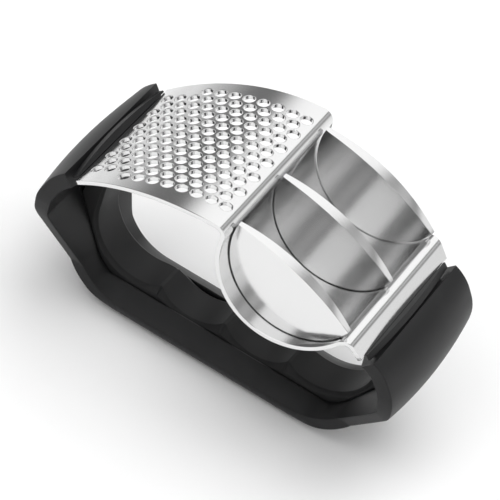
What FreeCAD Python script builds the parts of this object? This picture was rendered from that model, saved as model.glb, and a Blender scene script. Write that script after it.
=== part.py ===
"""Rocking garlic press, standing on its palm grip.

A bright pressed plate has a perforated rocker on its left and a trough with three
upright blades on its right.  Both ends of the plate are held in a moulded bow, and
a scalloped finger grip fills the inside of the bow.

Frame: millimetres, +Z up, +X along the press from the perforated end to the trough
end, origin under the middle of the palm grip.
"""
import FreeCAD, Part
import itertools
import math
import os
import Sketcher

OUT_FOLDER = "parts"

# Driving dimensions: each is one cell of the sheet, in millimetres or degrees.
DRIVING = {
    # pressed plate, side view: drops are below the top of the press, insets from the bow's ends
    "press_height": 61.8,
    "plate_gauge": 1.2,
    "bend_radius": 3.0,
    "trough_radius": 19.0,
    "trough_drop": 5.0,
    "trough_inset": 23.6,
    "tab_angle": 44.0,
    "right_end_inset": 11.8,
    "right_end_drop": 19.8,
    "left_end_inset": 9.0,
    "left_end_drop": 17.81,
    # pressed plate, plan view
    "plate_width": 57.4,
    "plan_radius": 174.0,
    "tongue_width": 36.0,
    "tongue_length": 5.5,
    # perforation
    "hole_diameter": 3.25,
    "hole_pitch": 4.07,
    "step_margin": 4.5,
    "rim_margin": 4.2,
    # blades: the cutting edge's centre is set back from the trough's axis and below it
    "blade_spacing": 23.1,
    "blade_gauge": 1.5,
    "blade_fit": 0.05,
    "edge_radius": 48.3,
    "edge_setback": 15.5,
    "edge_depth": 44.0,
    "bevel_height": 2.2,
    # handle bow
    "bow_length": 107.0,
    "bow_width": 46.2,
    "band_gauge": 4.2,
    "crown_rise": 1.4,
    "base_inset": 28.69,
    "corner_radius": 21.4,
    "waist_radius": 9.4,
    "upright_height": 0.8,
    "shoulder_radius": 12.4,
    "right_cover": 1.4,
    "left_cover": 1.11,
    "palm_width": 26.4,
    "palm_overhang": 8.19,
    "palm_top": 7.9,
    "palm_edge_radius": 4.9,
    "flare_foot_z": 11.0,
    "flare_foot_width": 29.4,
    "socket_fit": 0.15,
    "socket_lead": 2.0,
    "trim_reach": 9.0,
    # finger grip
    "grip_width": 12.6,
    "grip_fit": 0.15,
    "ridge_height": 10.8,
    "ridge_pitch": 19.2,
    "ridge_flat": 0.5,
    "groove_depth": 3.3,
    "end_groove_depth": 1.39,
    "end_face_inset": 12.5,
    "grip_end_drop": 6.0,
    "grip_chamfer": 1.0,
    # clamp strips
    "strip_width": 1.6,
    "strip_rise": 2.0,
    "strip_crown": 1.5,
    "strip_fit": 0.1,
}

# Sizes worked out from the driving ones, in the sheet's own formulas.
DERIVED = {
    "bow_half_length": "bow_length / 2",
    "bow_half_width": "bow_width / 2",
    "band_total": "band_gauge + crown_rise",
    # pressed plate
    "left_end_x": "bow_half_length - left_end_inset",
    "right_end_x": "bow_half_length - right_end_inset",
    "left_end_z": "press_height - left_end_drop",
    "right_end_z": "press_height - right_end_drop",
    "rocker_radius": "(left_end_x ^ 2 + left_end_drop ^ 2) / (2 * left_end_drop)",
    "rocker_axis_z": "press_height - rocker_radius",
    "rocker_inner_radius": "rocker_radius - plate_gauge",
    "trough_outer_radius": "trough_radius + plate_gauge",
    "trough_centre_x": "right_end_x - trough_inset",
    "trough_centre_z": "press_height - trough_drop",
    "trough_climb": "trough_centre_z - rocker_axis_z",
    "tab_end_x": "right_end_x + tongue_length * cos(tab_angle)",
    "tab_end_climb": "right_end_z - tongue_length * sin(tab_angle) - rocker_axis_z",
    "left_angle": "asin(left_end_x / rocker_radius)",
    "left_end_arc": "left_angle / 1 deg * pi / 180 * rocker_radius",
    "left_tongue_angle": "left_angle + tongue_length / rocker_radius * 180 deg / pi",
    "tongue_tip_x": "rocker_radius * sin(left_tongue_angle)",
    "bend_inner_radius": "bend_radius - plate_gauge",
    "plan_centre_y": "plan_radius - plate_width / 2",
    "left_shoulder_x": "left_end_x - plate_gauge * sin(left_angle) - 2 * socket_fit",
    "right_shoulder_x": "right_end_x - plate_gauge * sin(tab_angle) - 2 * socket_fit",
    "tongue_half": "tongue_width / 2",
    "plan_reach": "bow_length",
    # perforation
    "column_spacing": "hole_pitch * sqrt(3) / 2",
    "row_angle": "hole_pitch / rocker_radius * 180 / pi",
    "first_row_arc": "trough_radius - trough_centre_x + step_margin",
    "first_row_angle": "first_row_arc / rocker_radius * 180 / pi",
    # blades
    "blade_disc_radius": "trough_radius - blade_fit",
    "edge_low_radius": "edge_radius - bevel_height",
    "edge_centre_x": "trough_centre_x - edge_setback",
    "edge_centre_z": "trough_centre_z - edge_depth",
    # handle bow
    "right_shoulder_z": "right_end_z + right_cover - shoulder_radius",
    "left_shoulder_z": "left_end_z + left_cover - shoulder_radius",
    "waist_height": "right_shoulder_z - upright_height",
    "base_half": "bow_half_length - base_inset",
    "waist_run": "bow_half_length - waist_radius - base_half",
    "waist_climb": "waist_height - corner_radius",
    "slant_angle": "(atan(waist_climb / waist_run) + asin((corner_radius - waist_radius)"
                   " / sqrt(waist_run ^ 2 + waist_climb ^ 2))) / 1 deg",
    "section_radius": "(bow_half_width ^ 2 + crown_rise ^ 2) / (2 * crown_rise)",
    "bow_end_right": "right_end_x - band_gauge",
    "bow_end_left": "left_end_x - band_gauge",
    "palm_half": "palm_width / 2",
    "palm_half_length": "base_half + palm_overhang",
    "palm_flat": "palm_half - palm_edge_radius",
    "flare_foot_half": "flare_foot_width / 2",
    "left_socket_angle": "(left_angle + left_tongue_angle) / 2 / 1 deg",
    "socket_height": "plate_gauge + 2 * socket_fit",
    "socket_length": "tongue_length + socket_fit",
    "socket_width": "tongue_width + 2 * socket_fit",
    # finger grip
    "channel_width": "grip_width + 2 * grip_fit",
    "channel_top": "right_shoulder_z + shoulder_radius - band_total - grip_fit",
    "grip_offset": "band_total + grip_fit",
    "grip_end_z": "right_end_z - grip_end_drop",
    "end_face_x": "bow_half_length - end_face_inset",
    "groove_half": "ridge_pitch / 2 - ridge_flat",
    "groove_radius": "(groove_half ^ 2 + groove_depth ^ 2) / (2 * groove_depth)",
    "end_groove_run": "end_face_x - ridge_pitch - ridge_flat",
    "end_groove_radius": "end_groove_run + end_groove_depth"
                         " - sqrt(2 * end_groove_run * end_groove_depth)",
    # clamp strips
    "strip_length": "bow_width - 2 * strip_crown",
    "strip_radius": "(strip_length ^ 2 / 4 + strip_crown ^ 2) / (2 * strip_crown)",
}

doc = FreeCAD.newDocument("garlic_press")


def make_sheet():
    """Write every dimension to the sheet, one alias a row."""
    sheet = doc.addObject("Spreadsheet::Sheet", "Sizes")
    row = 1
    for name, value in DRIVING.items():
        sheet.set("A%d" % row, name)
        sheet.set("B%d" % row, "%g" % value)
        sheet.setAlias("B%d" % row, name)
        row += 1
    for name, formula in DERIVED.items():
        sheet.set("A%d" % row, name)
        sheet.set("B%d" % row, "=" + formula)
        sheet.setAlias("B%d" % row, name)
        row += 1
    doc.recompute()
    return sheet


sizes = make_sheet()


def size(name):
    """A cell's value as a plain number."""
    value = sizes.get(name)
    return float(getattr(value, "Value", value))


def bind(thing, prop, formula):
    """Bind a property to the sheet; names of cells are written as {name}."""
    thing.setExpression(prop, formula.replace("{", "Sizes.").replace("}", ""))


def new_body(name):
    body = doc.addObject("PartDesign::Body", name)
    body.Label = name
    return body


def origin_plane(body, role):
    """One of a body's own origin planes, found by its role."""
    return next(item for item in body.Origin.OriginFeatures if item.Role == role)


def new_sketch(body, name, role):
    sketch = body.newObject("Sketcher::SketchObject", name)
    sketch.AttachmentSupport = [(origin_plane(body, role), "")]
    sketch.MapMode = "FlatFace"
    return sketch


def place_x(sketch, geo, pos, formula, left=False):
    """Fix a point's horizontal distance from the sketch origin, on its right or left."""
    ends = (geo, pos, -1, 1) if left else (-1, 1, geo, pos)
    fix(sketch, "DistanceX", ends, formula)


def place_z(sketch, geo, pos, formula):
    """Fix a point's height above the sketch origin."""
    fix(sketch, "DistanceY", (-1, 1, geo, pos), formula)


def radius_of(sketch, geo, formula):
    index = sketch.addConstraint(Sketcher.Constraint("Radius", geo, sketch.Geometry[geo].Radius))
    bind(sketch, "Constraints[%d]" % index, formula)


def length_of(sketch, geo, formula):
    index = sketch.addConstraint(Sketcher.Constraint("Distance", geo, sketch.Geometry[geo].length()))
    bind(sketch, "Constraints[%d]" % index, formula)


def fix(sketch, kind, ends, formula):
    """Add a driving constraint whose value is a formula of the sheet."""
    apart = sketch.getPoint(*ends[2:]) - sketch.getPoint(*ends[:2])
    now = apart.x if kind == "DistanceX" else apart.y
    index = sketch.addConstraint(Sketcher.Constraint(kind, *ends, now))
    bind(sketch, "Constraints[%d]" % index, formula)


def point(x, z):
    return FreeCAD.Vector(x, z, 0)


def arc_between(centre, radius, first, last):
    """An arc about a centre, counter-clockwise from one point to another."""
    start = math.atan2(first[1] - centre[1], first[0] - centre[0])
    stop = math.atan2(last[1] - centre[1], last[0] - centre[0])
    if stop < start:
        stop += 2 * math.pi
    circle = Part.Circle(point(*centre), FreeCAD.Vector(0, 0, 1), radius)
    return Part.ArcOfCircle(circle, start, stop)


def circle_crossing(c1, r1, c2, r2, upper):
    """Where two circles cross: the higher or the lower of the two points."""
    dx, dz = c2[0] - c1[0], c2[1] - c1[1]
    gap = math.hypot(dx, dz)
    along = (r1 * r1 - r2 * r2 + gap * gap) / (2 * gap)
    side = math.sqrt(r1 * r1 - along * along)
    points = [(c1[0] + (along * dx - s * side * dz) / gap,
               c1[1] + (along * dz + s * side * dx) / gap) for s in (1, -1)]
    return max(points, key=lambda p: p[1]) if upper else min(points, key=lambda p: p[1])


def line_circle_crossing(start, angle, centre, radius, first):
    """Where a line that slopes down to the right by an angle enters or leaves a circle."""
    ux, uz = math.cos(math.radians(angle)), -math.sin(math.radians(angle))
    dx, dz = start[0] - centre[0], start[1] - centre[1]
    along = dx * ux + dz * uz
    half = math.sqrt(along * along - (dx * dx + dz * dz - radius * radius))
    reach = -along - half if first else -along + half
    return (start[0] + reach * ux, start[1] + reach * uz)


def join(sketch, first, second):
    """Make two end points one, each given as (element, end)."""
    sketch.addConstraint(Sketcher.Constraint("Coincident", *first, *second))


def angle_of(sketch, line, degrees, formula):
    index = sketch.addConstraint(Sketcher.Constraint("Angle", line, math.radians(degrees)))
    bind(sketch, "Constraints[%d]" % index, formula)


# ---------------------------------------------------------------- pressed plate

def plate_corners():
    """Corners of the bent sheet before its bends are rounded, about the rocker's axis."""
    big, small = size("rocker_radius"), size("rocker_inner_radius")
    near, far = size("trough_radius"), size("trough_outer_radius")
    trough = (size("trough_centre_x"), size("trough_climb"))
    slope = math.radians(size("tab_angle"))
    gauge = size("plate_gauge")
    back = 2 * near
    tab_top = (size("tab_end_x"), size("tab_end_climb"))
    tab_low = (tab_top[0] - gauge * math.sin(slope), tab_top[1] - gauge * math.cos(slope))
    ridge_top, ridge_low = [
        line_circle_crossing((x - back * math.cos(slope), z + back * math.sin(slope)),
                             size("tab_angle"), trough, radius, False)
        for (x, z), radius in ((tab_top, near), (tab_low, far))]
    tip = math.radians(size("left_tongue_angle"))
    return {
        "trough": trough,
        "step_top": circle_crossing((0, 0), big, trough, near, True),
        "step_low": circle_crossing((0, 0), small, trough, far, True),
        "ridge_top": ridge_top,
        "ridge_low": ridge_low,
        "tab_top": tab_top,
        "tab_low": tab_low,
        "tip_top": (-big * math.sin(tip), big * math.cos(tip)),
        "tip_low": (-small * math.sin(tip), small * math.cos(tip)),
    }


def plate_profile(body):
    """The bent sheet seen from the front, about the rocker's axis."""
    sketch = new_sketch(body, "PlateProfile", "XZ_Plane")
    at = plate_corners()
    big, small = size("rocker_radius"), size("rocker_inner_radius")
    near, far = size("trough_radius"), size("trough_outer_radius")
    trough, step_top, step_low = at["trough"], at["step_top"], at["step_low"]
    ridge_top, ridge_low = at["ridge_top"], at["ridge_low"]
    tab_top, tab_low, tip_top, tip_low = at["tab_top"], at["tab_low"], at["tip_top"], at["tip_low"]
    top_arc = sketch.addGeometry(arc_between((0, 0), big, step_top, tip_top))
    low_arc = sketch.addGeometry(arc_between((0, 0), small, step_low, tip_low))
    trough_top = sketch.addGeometry(arc_between(trough, near, step_top, ridge_top))
    trough_low = sketch.addGeometry(arc_between(trough, far, step_low, ridge_low))
    tab_top_line = sketch.addGeometry(Part.LineSegment(point(*ridge_top), point(*tab_top)))
    tab_low_line = sketch.addGeometry(Part.LineSegment(point(*ridge_low), point(*tab_low)))
    right_end = sketch.addGeometry(Part.LineSegment(point(*tab_top), point(*tab_low)))
    left_end = sketch.addGeometry(Part.LineSegment(point(*tip_top), point(*tip_low)))
    join(sketch, (top_arc, 1), (trough_top, 1))
    join(sketch, (low_arc, 1), (trough_low, 1))
    join(sketch, (trough_top, 2), (tab_top_line, 1))
    join(sketch, (trough_low, 2), (tab_low_line, 1))
    join(sketch, (tab_top_line, 2), (right_end, 1))
    join(sketch, (tab_low_line, 2), (right_end, 2))
    join(sketch, (top_arc, 2), (left_end, 1))
    join(sketch, (low_arc, 2), (left_end, 2))
    join(sketch, (top_arc, 3), (-1, 1))
    join(sketch, (low_arc, 3), (-1, 1))
    join(sketch, (trough_low, 3), (trough_top, 3))
    place_x(sketch, trough_top, 3, "{trough_centre_x}")
    place_z(sketch, trough_top, 3, "{trough_climb}")
    radius_of(sketch, top_arc, "{rocker_radius}")
    radius_of(sketch, low_arc, "{rocker_inner_radius}")
    radius_of(sketch, trough_top, "{trough_radius}")
    radius_of(sketch, trough_low, "{trough_outer_radius}")
    place_x(sketch, tab_top_line, 2, "{tab_end_x}")
    place_z(sketch, tab_top_line, 2, "{tab_end_climb}")
    angle_of(sketch, tab_top_line, -size("tab_angle"), "-{tab_angle} * 1 deg")
    sketch.addConstraint(Sketcher.Constraint("Parallel", tab_low_line, tab_top_line))
    sketch.addConstraint(Sketcher.Constraint("Perpendicular", right_end, tab_top_line))
    length_of(sketch, right_end, "{plate_gauge}")
    place_x(sketch, top_arc, 2, "{tongue_tip_x}", left=True)
    sketch.addConstraint(Sketcher.Constraint("PointOnObject", -1, 1, left_end))
    doc.recompute()
    return sketch


def long_edges_near(shape, x, z, reach):
    """Names of the edges that run along Y and pass close to a place in the front view."""
    names = []
    for number, edge in enumerate(shape.Edges, 1):
        box = edge.BoundBox
        across = box.YLength > 4 * max(box.XLength, box.ZLength, 0.01)
        if across and math.hypot(box.Center.x - x, box.Center.z - z) < reach:
            names.append("Edge%d" % number)
    return names


def plate_outline(body):
    """Plan of the plate: two bowed sides, narrowed to a tongue at each end."""
    sketch = new_sketch(body, "PlateOutline", "XY_Plane")
    radius, centre = size("plan_radius"), size("plan_centre_y")
    left, right = size("left_shoulder_x"), size("right_shoulder_x")
    tongue, reach = size("tongue_half"), size("plan_reach")
    sides = []
    for side in (-1, 1):
        y_left = side * (math.sqrt(radius ** 2 - left ** 2) - centre)
        y_right = side * (math.sqrt(radius ** 2 - right ** 2) - centre)
        ends = [(-left, y_left), (right, y_right)]
        if side > 0:
            ends.reverse()
        arc = sketch.addGeometry(arc_between((0, -side * centre), radius, *ends))
        left_end, right_end = (1, 2) if side < 0 else (2, 1)
        radius_of(sketch, arc, "{plan_radius}")
        sketch.addConstraint(Sketcher.Constraint("PointOnObject", arc, 3, -2))
        if side < 0:
            fix(sketch, "DistanceY", (-1, 1, arc, 3), "{plan_centre_y}")
        else:
            fix(sketch, "DistanceY", (arc, 3, -1, 1), "{plan_centre_y}")
        place_x(sketch, arc, left_end, "{left_shoulder_x}", left=True)
        place_x(sketch, arc, right_end, "{right_shoulder_x}")
        sides.append((arc, left_end, right_end, side))
    for pick, x, sign in ((1, left, -1), (2, right, 1)):
        corners = []
        for arc, left_end, right_end, side in sides:
            end = left_end if pick == 1 else right_end
            shoulder = sketch.getPoint(arc, end)
            inner = (sign * x, side * tongue)
            outer = (sign * reach, side * tongue)
            step = sketch.addGeometry(Part.LineSegment(shoulder, point(*inner)))
            edge = sketch.addGeometry(Part.LineSegment(point(*inner), point(*outer)))
            join(sketch, (arc, end), (step, 1))
            join(sketch, (step, 2), (edge, 1))
            sketch.addConstraint(Sketcher.Constraint("Vertical", step))
            sketch.addConstraint(Sketcher.Constraint("Horizontal", edge))
            if side < 0:
                fix(sketch, "DistanceY", (edge, 1, -1, 1), "{tongue_half}")
            else:
                fix(sketch, "DistanceY", (-1, 1, edge, 1), "{tongue_half}")
            place_x(sketch, edge, 2, "{plan_reach}", left=sign < 0)
            corners.append((edge, 2))
        tip = sketch.addGeometry(Part.LineSegment(sketch.getPoint(*corners[0]),
                                                  sketch.getPoint(*corners[1])))
        join(sketch, corners[0], (tip, 1))
        join(sketch, corners[1], (tip, 2))
    outer = size("plan_reach") * 1.2
    corners = [(-outer, -outer), (outer, -outer), (outer, outer), (-outer, outer)]
    lines = [sketch.addGeometry(Part.LineSegment(point(*corners[i]), point(*corners[(i + 1) % 4])))
             for i in range(4)]
    for i in range(4):
        join(sketch, (lines[i], 2), (lines[(i + 1) % 4], 1))
        sketch.addConstraint(Sketcher.Constraint("Horizontal" if i % 2 == 0 else "Vertical", lines[i]))
    place_x(sketch, lines[0], 1, "1.2 * {plan_reach}", left=True)
    place_x(sketch, lines[0], 2, "1.2 * {plan_reach}")
    fix(sketch, "DistanceY", (lines[0], 1, -1, 1), "1.2 * {plan_reach}")
    fix(sketch, "DistanceY", (-1, 1, lines[2], 1), "1.2 * {plan_reach}")
    doc.recompute()
    return sketch


def columns_at(row, odd):
    """How many holes fit across the plate at a row: an odd number, or an even one."""
    angle = math.radians(size("first_row_angle") + row * size("row_angle"))
    x = size("rocker_radius") * math.sin(angle)
    half = math.sqrt(size("plan_radius") ** 2 - x ** 2) - size("plan_centre_y") - size("rim_margin")
    steps = half / size("column_spacing")
    return 2 * math.floor(steps / 2) + 1 if odd else 2 * math.floor((steps + 1) / 2)


def hole_groups():
    """Rows with as many holes each, in groups: columns, place of the first row, number of rows.

    Rows lie a pitch apart, with rows between them that are set half a pitch and a column over.
    """
    groups = []
    last = (size("left_end_arc") - size("rim_margin") - size("first_row_arc")) / size("hole_pitch")
    for start, odd in ((0, True), (0.5, False)):
        rows = [start + step for step in range(math.floor(last - start) + 1)]
        for columns, run in itertools.groupby(rows, key=lambda row: columns_at(row, odd)):
            alike = list(run)
            groups.append((columns, alike[0], len(alike)))
    return groups


def hole_row(body, name, columns, first_angle, rows):
    """One row of holes cut square to the rocker, repeated round the rocker's axis."""
    sketch = new_sketch(body, name + "Sketch", "XY_Plane")
    spacing = size("column_spacing")
    for column in range(columns):
        step = 2 * column - (columns - 1)
        y = step * spacing
        circle = sketch.addGeometry(Part.Circle(point(0, y), FreeCAD.Vector(0, 0, 1),
                                                size("hole_diameter") / 2))
        radius_of(sketch, circle, "{hole_diameter} / 2")
        if step:
            sketch.addConstraint(Sketcher.Constraint("PointOnObject", circle, 3, -2))
        if step > 0:
            fix(sketch, "DistanceY", (-1, 1, circle, 3), "%d * {column_spacing}" % step)
        elif step < 0:
            fix(sketch, "DistanceY", (circle, 3, -1, 1), "%d * {column_spacing}" % -step)
        else:
            join(sketch, (circle, 3), (-1, 1))
    sketch.AttachmentOffset = FreeCAD.Placement(
        FreeCAD.Vector(), FreeCAD.Rotation(FreeCAD.Vector(0, 1, 0), -1))
    sketch.setExpression("AttachmentOffset.Rotation.Angle",
                         first_angle.replace("{", "Sizes.").replace("}", ""))
    doc.recompute()
    pocket = body.newObject("PartDesign::Pocket", name)
    pocket.Profile = sketch
    pocket.Type = "Length"
    pocket.Reversed = True
    bind(pocket, "Length", "{rocker_radius} + {plate_gauge}")
    doc.recompute()
    if rows > 1:
        pattern = body.newObject("PartDesign::PolarPattern", name + "Rows")
        pattern.Originals = [pocket]
        pattern.Axis = (origin_plane(body, "Y_Axis"), [""])
        pattern.Reversed = True
        pattern.Occurrences = rows
        pattern.Angle = 10
        bind(pattern, "Angle", "{row_angle} * %d" % (rows - 1))
        body.Tip = pattern
        doc.recompute()


def make_plate():
    body = new_body("pressed_plate")
    bind(body, "Placement.Base.z", "{rocker_axis_z}")
    pad = body.newObject("PartDesign::Pad", "PlateSheet")
    pad.Profile = plate_profile(body)
    pad.Midplane = True
    bind(pad, "Length", "{plate_width} + 2 * {plate_gauge}")
    doc.recompute()
    corners = plate_corners()
    bends = (("OuterBends", "bend_radius", ("step_top", "ridge_top")),
             ("InnerBends", "bend_inner_radius", ("step_low", "ridge_low")))
    for name, radius, places in bends:
        edges = []
        for place in places:
            edges += long_edges_near(body.Shape, corners[place][0],
                                     corners[place][1] + size("rocker_axis_z"), 0.3)
        before = body.Tip
        fillet = body.newObject("PartDesign::Fillet", name)
        fillet.Base = (before, edges)
        bind(fillet, "Radius", "{%s}" % radius)
        doc.recompute()
    trim = body.newObject("PartDesign::Pocket", "PlateTrim")
    trim.Profile = plate_outline(body)
    trim.Type = "ThroughAll"
    trim.Midplane = True
    doc.recompute()
    rows = "-({first_row_angle} + %g * {row_angle}) * 1 deg"
    for number, (columns, first, count) in enumerate(hole_groups(), 1):
        hole_row(body, "HoleGroup%d" % number, columns, rows % first, count)
    return body


# ---------------------------------------------------------------- blades

def lying_disc(kind, name):
    """A cylinder or cone whose axis runs along Y, from the front to the back."""
    disc = doc.addObject(kind, name)
    disc.Placement = FreeCAD.Placement(
        FreeCAD.Vector(), FreeCAD.Rotation(FreeCAD.Vector(1, 0, 0), -90))
    return disc


def make_blade(name, place):
    """A disc that fits the trough, cut to the cutting edge's circle with a bevel in front."""
    seat = lying_disc("Part::Cylinder", name + "_seat")
    bind(seat, "Radius", "{blade_disc_radius}")
    bind(seat, "Height", "{blade_gauge}")
    bind(seat, "Placement.Base.x", "{trough_centre_x}")
    bind(seat, "Placement.Base.z", "{trough_centre_z}")
    edge = lying_disc("Part::Cone", name + "_edge")
    bind(edge, "Radius1", "{edge_low_radius}")
    bind(edge, "Radius2", "{edge_radius}")
    bind(edge, "Height", "{blade_gauge}")
    bind(edge, "Placement.Base.x", "{edge_centre_x}")
    bind(edge, "Placement.Base.z", "{edge_centre_z}")
    for disc in (seat, edge):
        bind(disc, "Placement.Base.y", "%d * {blade_spacing} - {blade_gauge} / 2" % place)
    blade = doc.addObject("Part::MultiCommon", name)
    blade.Label = name
    blade.Shapes = [seat, edge]
    return blade


# ---------------------------------------------------------------- handle bow

def wall_points(inset, side):
    """Key points of the bow's side outline, set in from its outer line by an inset."""
    half = size("bow_half_length") - inset
    corner = size("corner_radius") - inset
    waist = size("waist_radius") - inset
    slant = math.radians(size("slant_angle"))
    sin, cos = math.sin(slant), math.cos(slant)
    corner_x, waist_z = size("base_half"), size("waist_height")
    points = {
        "corner_centre": (corner_x, inset + corner),
        "corner_start": (corner_x, inset),
        "corner_end": (corner_x + corner * sin, inset + corner - corner * cos),
        "waist_centre": (half - waist, waist_z),
        "waist_start": (half - waist + waist * sin, waist_z - waist * cos),
        "waist_end": (half, waist_z),
        "upright_end": (half, size(side + "_shoulder_z")),
        "shoulder_centre": (half - size("shoulder_radius") + inset, size(side + "_shoulder_z")),
    }
    if side == "left":
        points = {name: (-x, z) for name, (x, z) in points.items()}
    return points


def mirror_arc(side, centre, radius, low, high):
    """An arc that climbs from a low to a high point on the right, or its mirror image."""
    ends = (low, high) if side == "right" else (high, low)
    return arc_between(centre, radius, *ends)


def add_wall(sketch, base, base_end, inset, side, end, end_is_height=False):
    """Draw one end wall upward from a level base line: two bends, a slant and a shoulder.

    Returns the shoulder arc and the number of its upper end.
    """
    depth = size(inset) if inset else 0.0
    less = " - {%s}" % inset if inset else ""
    at = wall_points(depth, side)
    low_end, high_end = (1, 2) if side == "right" else (2, 1)
    left = side == "left"
    sign = -1 if left else 1
    shoulder_radius = size("shoulder_radius") - depth
    cx, cz = at["shoulder_centre"]
    if end_is_height:
        rise = size(end) - cz
        top = (cx + sign * math.sqrt(shoulder_radius ** 2 - rise ** 2), size(end))
    else:
        run = sign * size(end) - cx
        top = (sign * size(end), cz + math.sqrt(shoulder_radius ** 2 - run ** 2))
    corner = sketch.addGeometry(mirror_arc(side, at["corner_centre"], size("corner_radius") - depth,
                                           at["corner_start"], at["corner_end"]))
    slant = sketch.addGeometry(Part.LineSegment(point(*at["corner_end"]), point(*at["waist_start"])))
    waist = sketch.addGeometry(mirror_arc(side, at["waist_centre"], size("waist_radius") - depth,
                                          at["waist_start"], at["waist_end"]))
    upright = sketch.addGeometry(Part.LineSegment(point(*at["waist_end"]), point(*at["upright_end"])))
    shoulder = sketch.addGeometry(mirror_arc(side, (cx, cz), shoulder_radius, at["upright_end"], top))
    for first, second in (((base, base_end), (corner, low_end)), ((corner, high_end), (slant, 1)),
                          ((slant, 2), (waist, low_end)), ((waist, high_end), (upright, 1)),
                          ((upright, 2), (shoulder, low_end))):
        sketch.addConstraint(Sketcher.Constraint("Tangent", *first, *second))
    radius_of(sketch, corner, "{corner_radius}" + less)
    radius_of(sketch, waist, "{waist_radius}" + less)
    radius_of(sketch, shoulder, "{shoulder_radius}" + less)
    if left:
        angle_of(sketch, slant, 180 - size("slant_angle"), "(180 - {slant_angle}) * 1 deg")
    else:
        angle_of(sketch, slant, size("slant_angle"), "{slant_angle} * 1 deg")
    place_x(sketch, upright, 1, "{bow_half_length}" + less, left=left)
    place_z(sketch, upright, 1, "{waist_height}")
    place_z(sketch, upright, 2, "{%s_shoulder_z}" % side)
    if end_is_height:
        place_z(sketch, shoulder, high_end, "{%s}" % end)
    else:
        place_x(sketch, shoulder, high_end, "{%s}" % end, left=left)
    return shoulder, high_end


def add_base(sketch, inset, from_x, to_x):
    """The level line along the bottom of the bow's side outline."""
    depth = size(inset) if inset else 0.0
    line = sketch.addGeometry(Part.LineSegment(point(from_x, depth), point(to_x, depth)))
    sketch.addConstraint(Sketcher.Constraint("Horizontal", line))
    return line


def bow_spine(body, side):
    """Outer line of one half of the bow, from the middle of the grip to the steel."""
    sketch = new_sketch(body, side.capitalize() + "Spine", "XZ_Plane")
    base = add_base(sketch, None, 0.0, wall_points(0.0, side)["corner_start"][0])
    join(sketch, (base, 1), (-1, 1))
    add_wall(sketch, base, 2, None, side, "bow_end_" + side)
    doc.recompute()
    return sketch


def band_section(body):
    """Cross-section of the band at the middle of the grip: flat inside, crowned outside."""
    sketch = new_sketch(body, "BandSection", "YZ_Plane")
    half, rise, top = size("bow_half_width"), size("crown_rise"), size("band_total")
    radius = size("section_radius")
    crown = sketch.addGeometry(arc_between((0, radius), radius, (-half, rise), (half, rise)))
    corners = [(half, rise), (half, top), (-half, top), (-half, rise)]
    lines = [sketch.addGeometry(Part.LineSegment(point(*corners[i]), point(*corners[i + 1])))
             for i in range(3)]
    join(sketch, (crown, 2), (lines[0], 1))
    join(sketch, (lines[0], 2), (lines[1], 1))
    join(sketch, (lines[1], 2), (lines[2], 1))
    join(sketch, (lines[2], 2), (crown, 1))
    radius_of(sketch, crown, "{section_radius}")
    place_x(sketch, lines[0], 1, "{bow_half_width}")
    place_x(sketch, lines[0], 2, "{bow_half_width}")
    place_x(sketch, lines[2], 1, "{bow_half_width}", left=True)
    place_x(sketch, lines[2], 2, "{bow_half_width}", left=True)
    place_z(sketch, lines[0], 1, "{crown_rise}")
    place_z(sketch, lines[2], 2, "{crown_rise}")
    place_z(sketch, lines[0], 2, "{band_total}")
    place_z(sketch, lines[2], 1, "{band_total}")
    doc.recompute()
    return sketch


def palm_side(body):
    """Side view of the palm block that fills the bottom of the bow."""
    sketch = new_sketch(body, "PalmSide", "XZ_Plane")
    right, left = wall_points(0.0, "right"), wall_points(0.0, "left")
    half, top, radius = size("palm_half_length"), size("palm_top"), size("corner_radius")
    corner_x = right["corner_start"][0]
    rise = radius - math.sqrt(radius ** 2 - (half - corner_x) ** 2)
    base = sketch.addGeometry(Part.LineSegment(point(-corner_x, 0), point(corner_x, 0)))
    bend_r = sketch.addGeometry(arc_between(right["corner_centre"], radius, (corner_x, 0), (half, rise)))
    bend_l = sketch.addGeometry(arc_between(left["corner_centre"], radius, (-half, rise), (-corner_x, 0)))
    end_r = sketch.addGeometry(Part.LineSegment(point(half, rise), point(half, top)))
    end_l = sketch.addGeometry(Part.LineSegment(point(-half, rise), point(-half, top)))
    lid = sketch.addGeometry(Part.LineSegment(point(half, top), point(-half, top)))
    sketch.addConstraint(Sketcher.Constraint("Tangent", base, 2, bend_r, 1))
    sketch.addConstraint(Sketcher.Constraint("Tangent", base, 1, bend_l, 2))
    join(sketch, (bend_r, 2), (end_r, 1))
    join(sketch, (bend_l, 1), (end_l, 1))
    join(sketch, (end_r, 2), (lid, 1))
    join(sketch, (end_l, 2), (lid, 2))
    for line in (end_r, end_l):
        sketch.addConstraint(Sketcher.Constraint("Vertical", line))
    sketch.addConstraint(Sketcher.Constraint("Horizontal", lid))
    sketch.addConstraint(Sketcher.Constraint("PointOnObject", base, 1, -1))
    sketch.addConstraint(Sketcher.Constraint("PointOnObject", base, 2, -1))
    radius_of(sketch, bend_r, "{corner_radius}")
    radius_of(sketch, bend_l, "{corner_radius}")
    place_x(sketch, base, 2, "{base_half}")
    place_x(sketch, base, 1, "{base_half}", left=True)
    place_x(sketch, end_r, 1, "{palm_half_length}")
    place_x(sketch, end_l, 1, "{palm_half_length}", left=True)
    place_z(sketch, lid, 1, "{palm_top}")
    doc.recompute()
    return sketch


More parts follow.
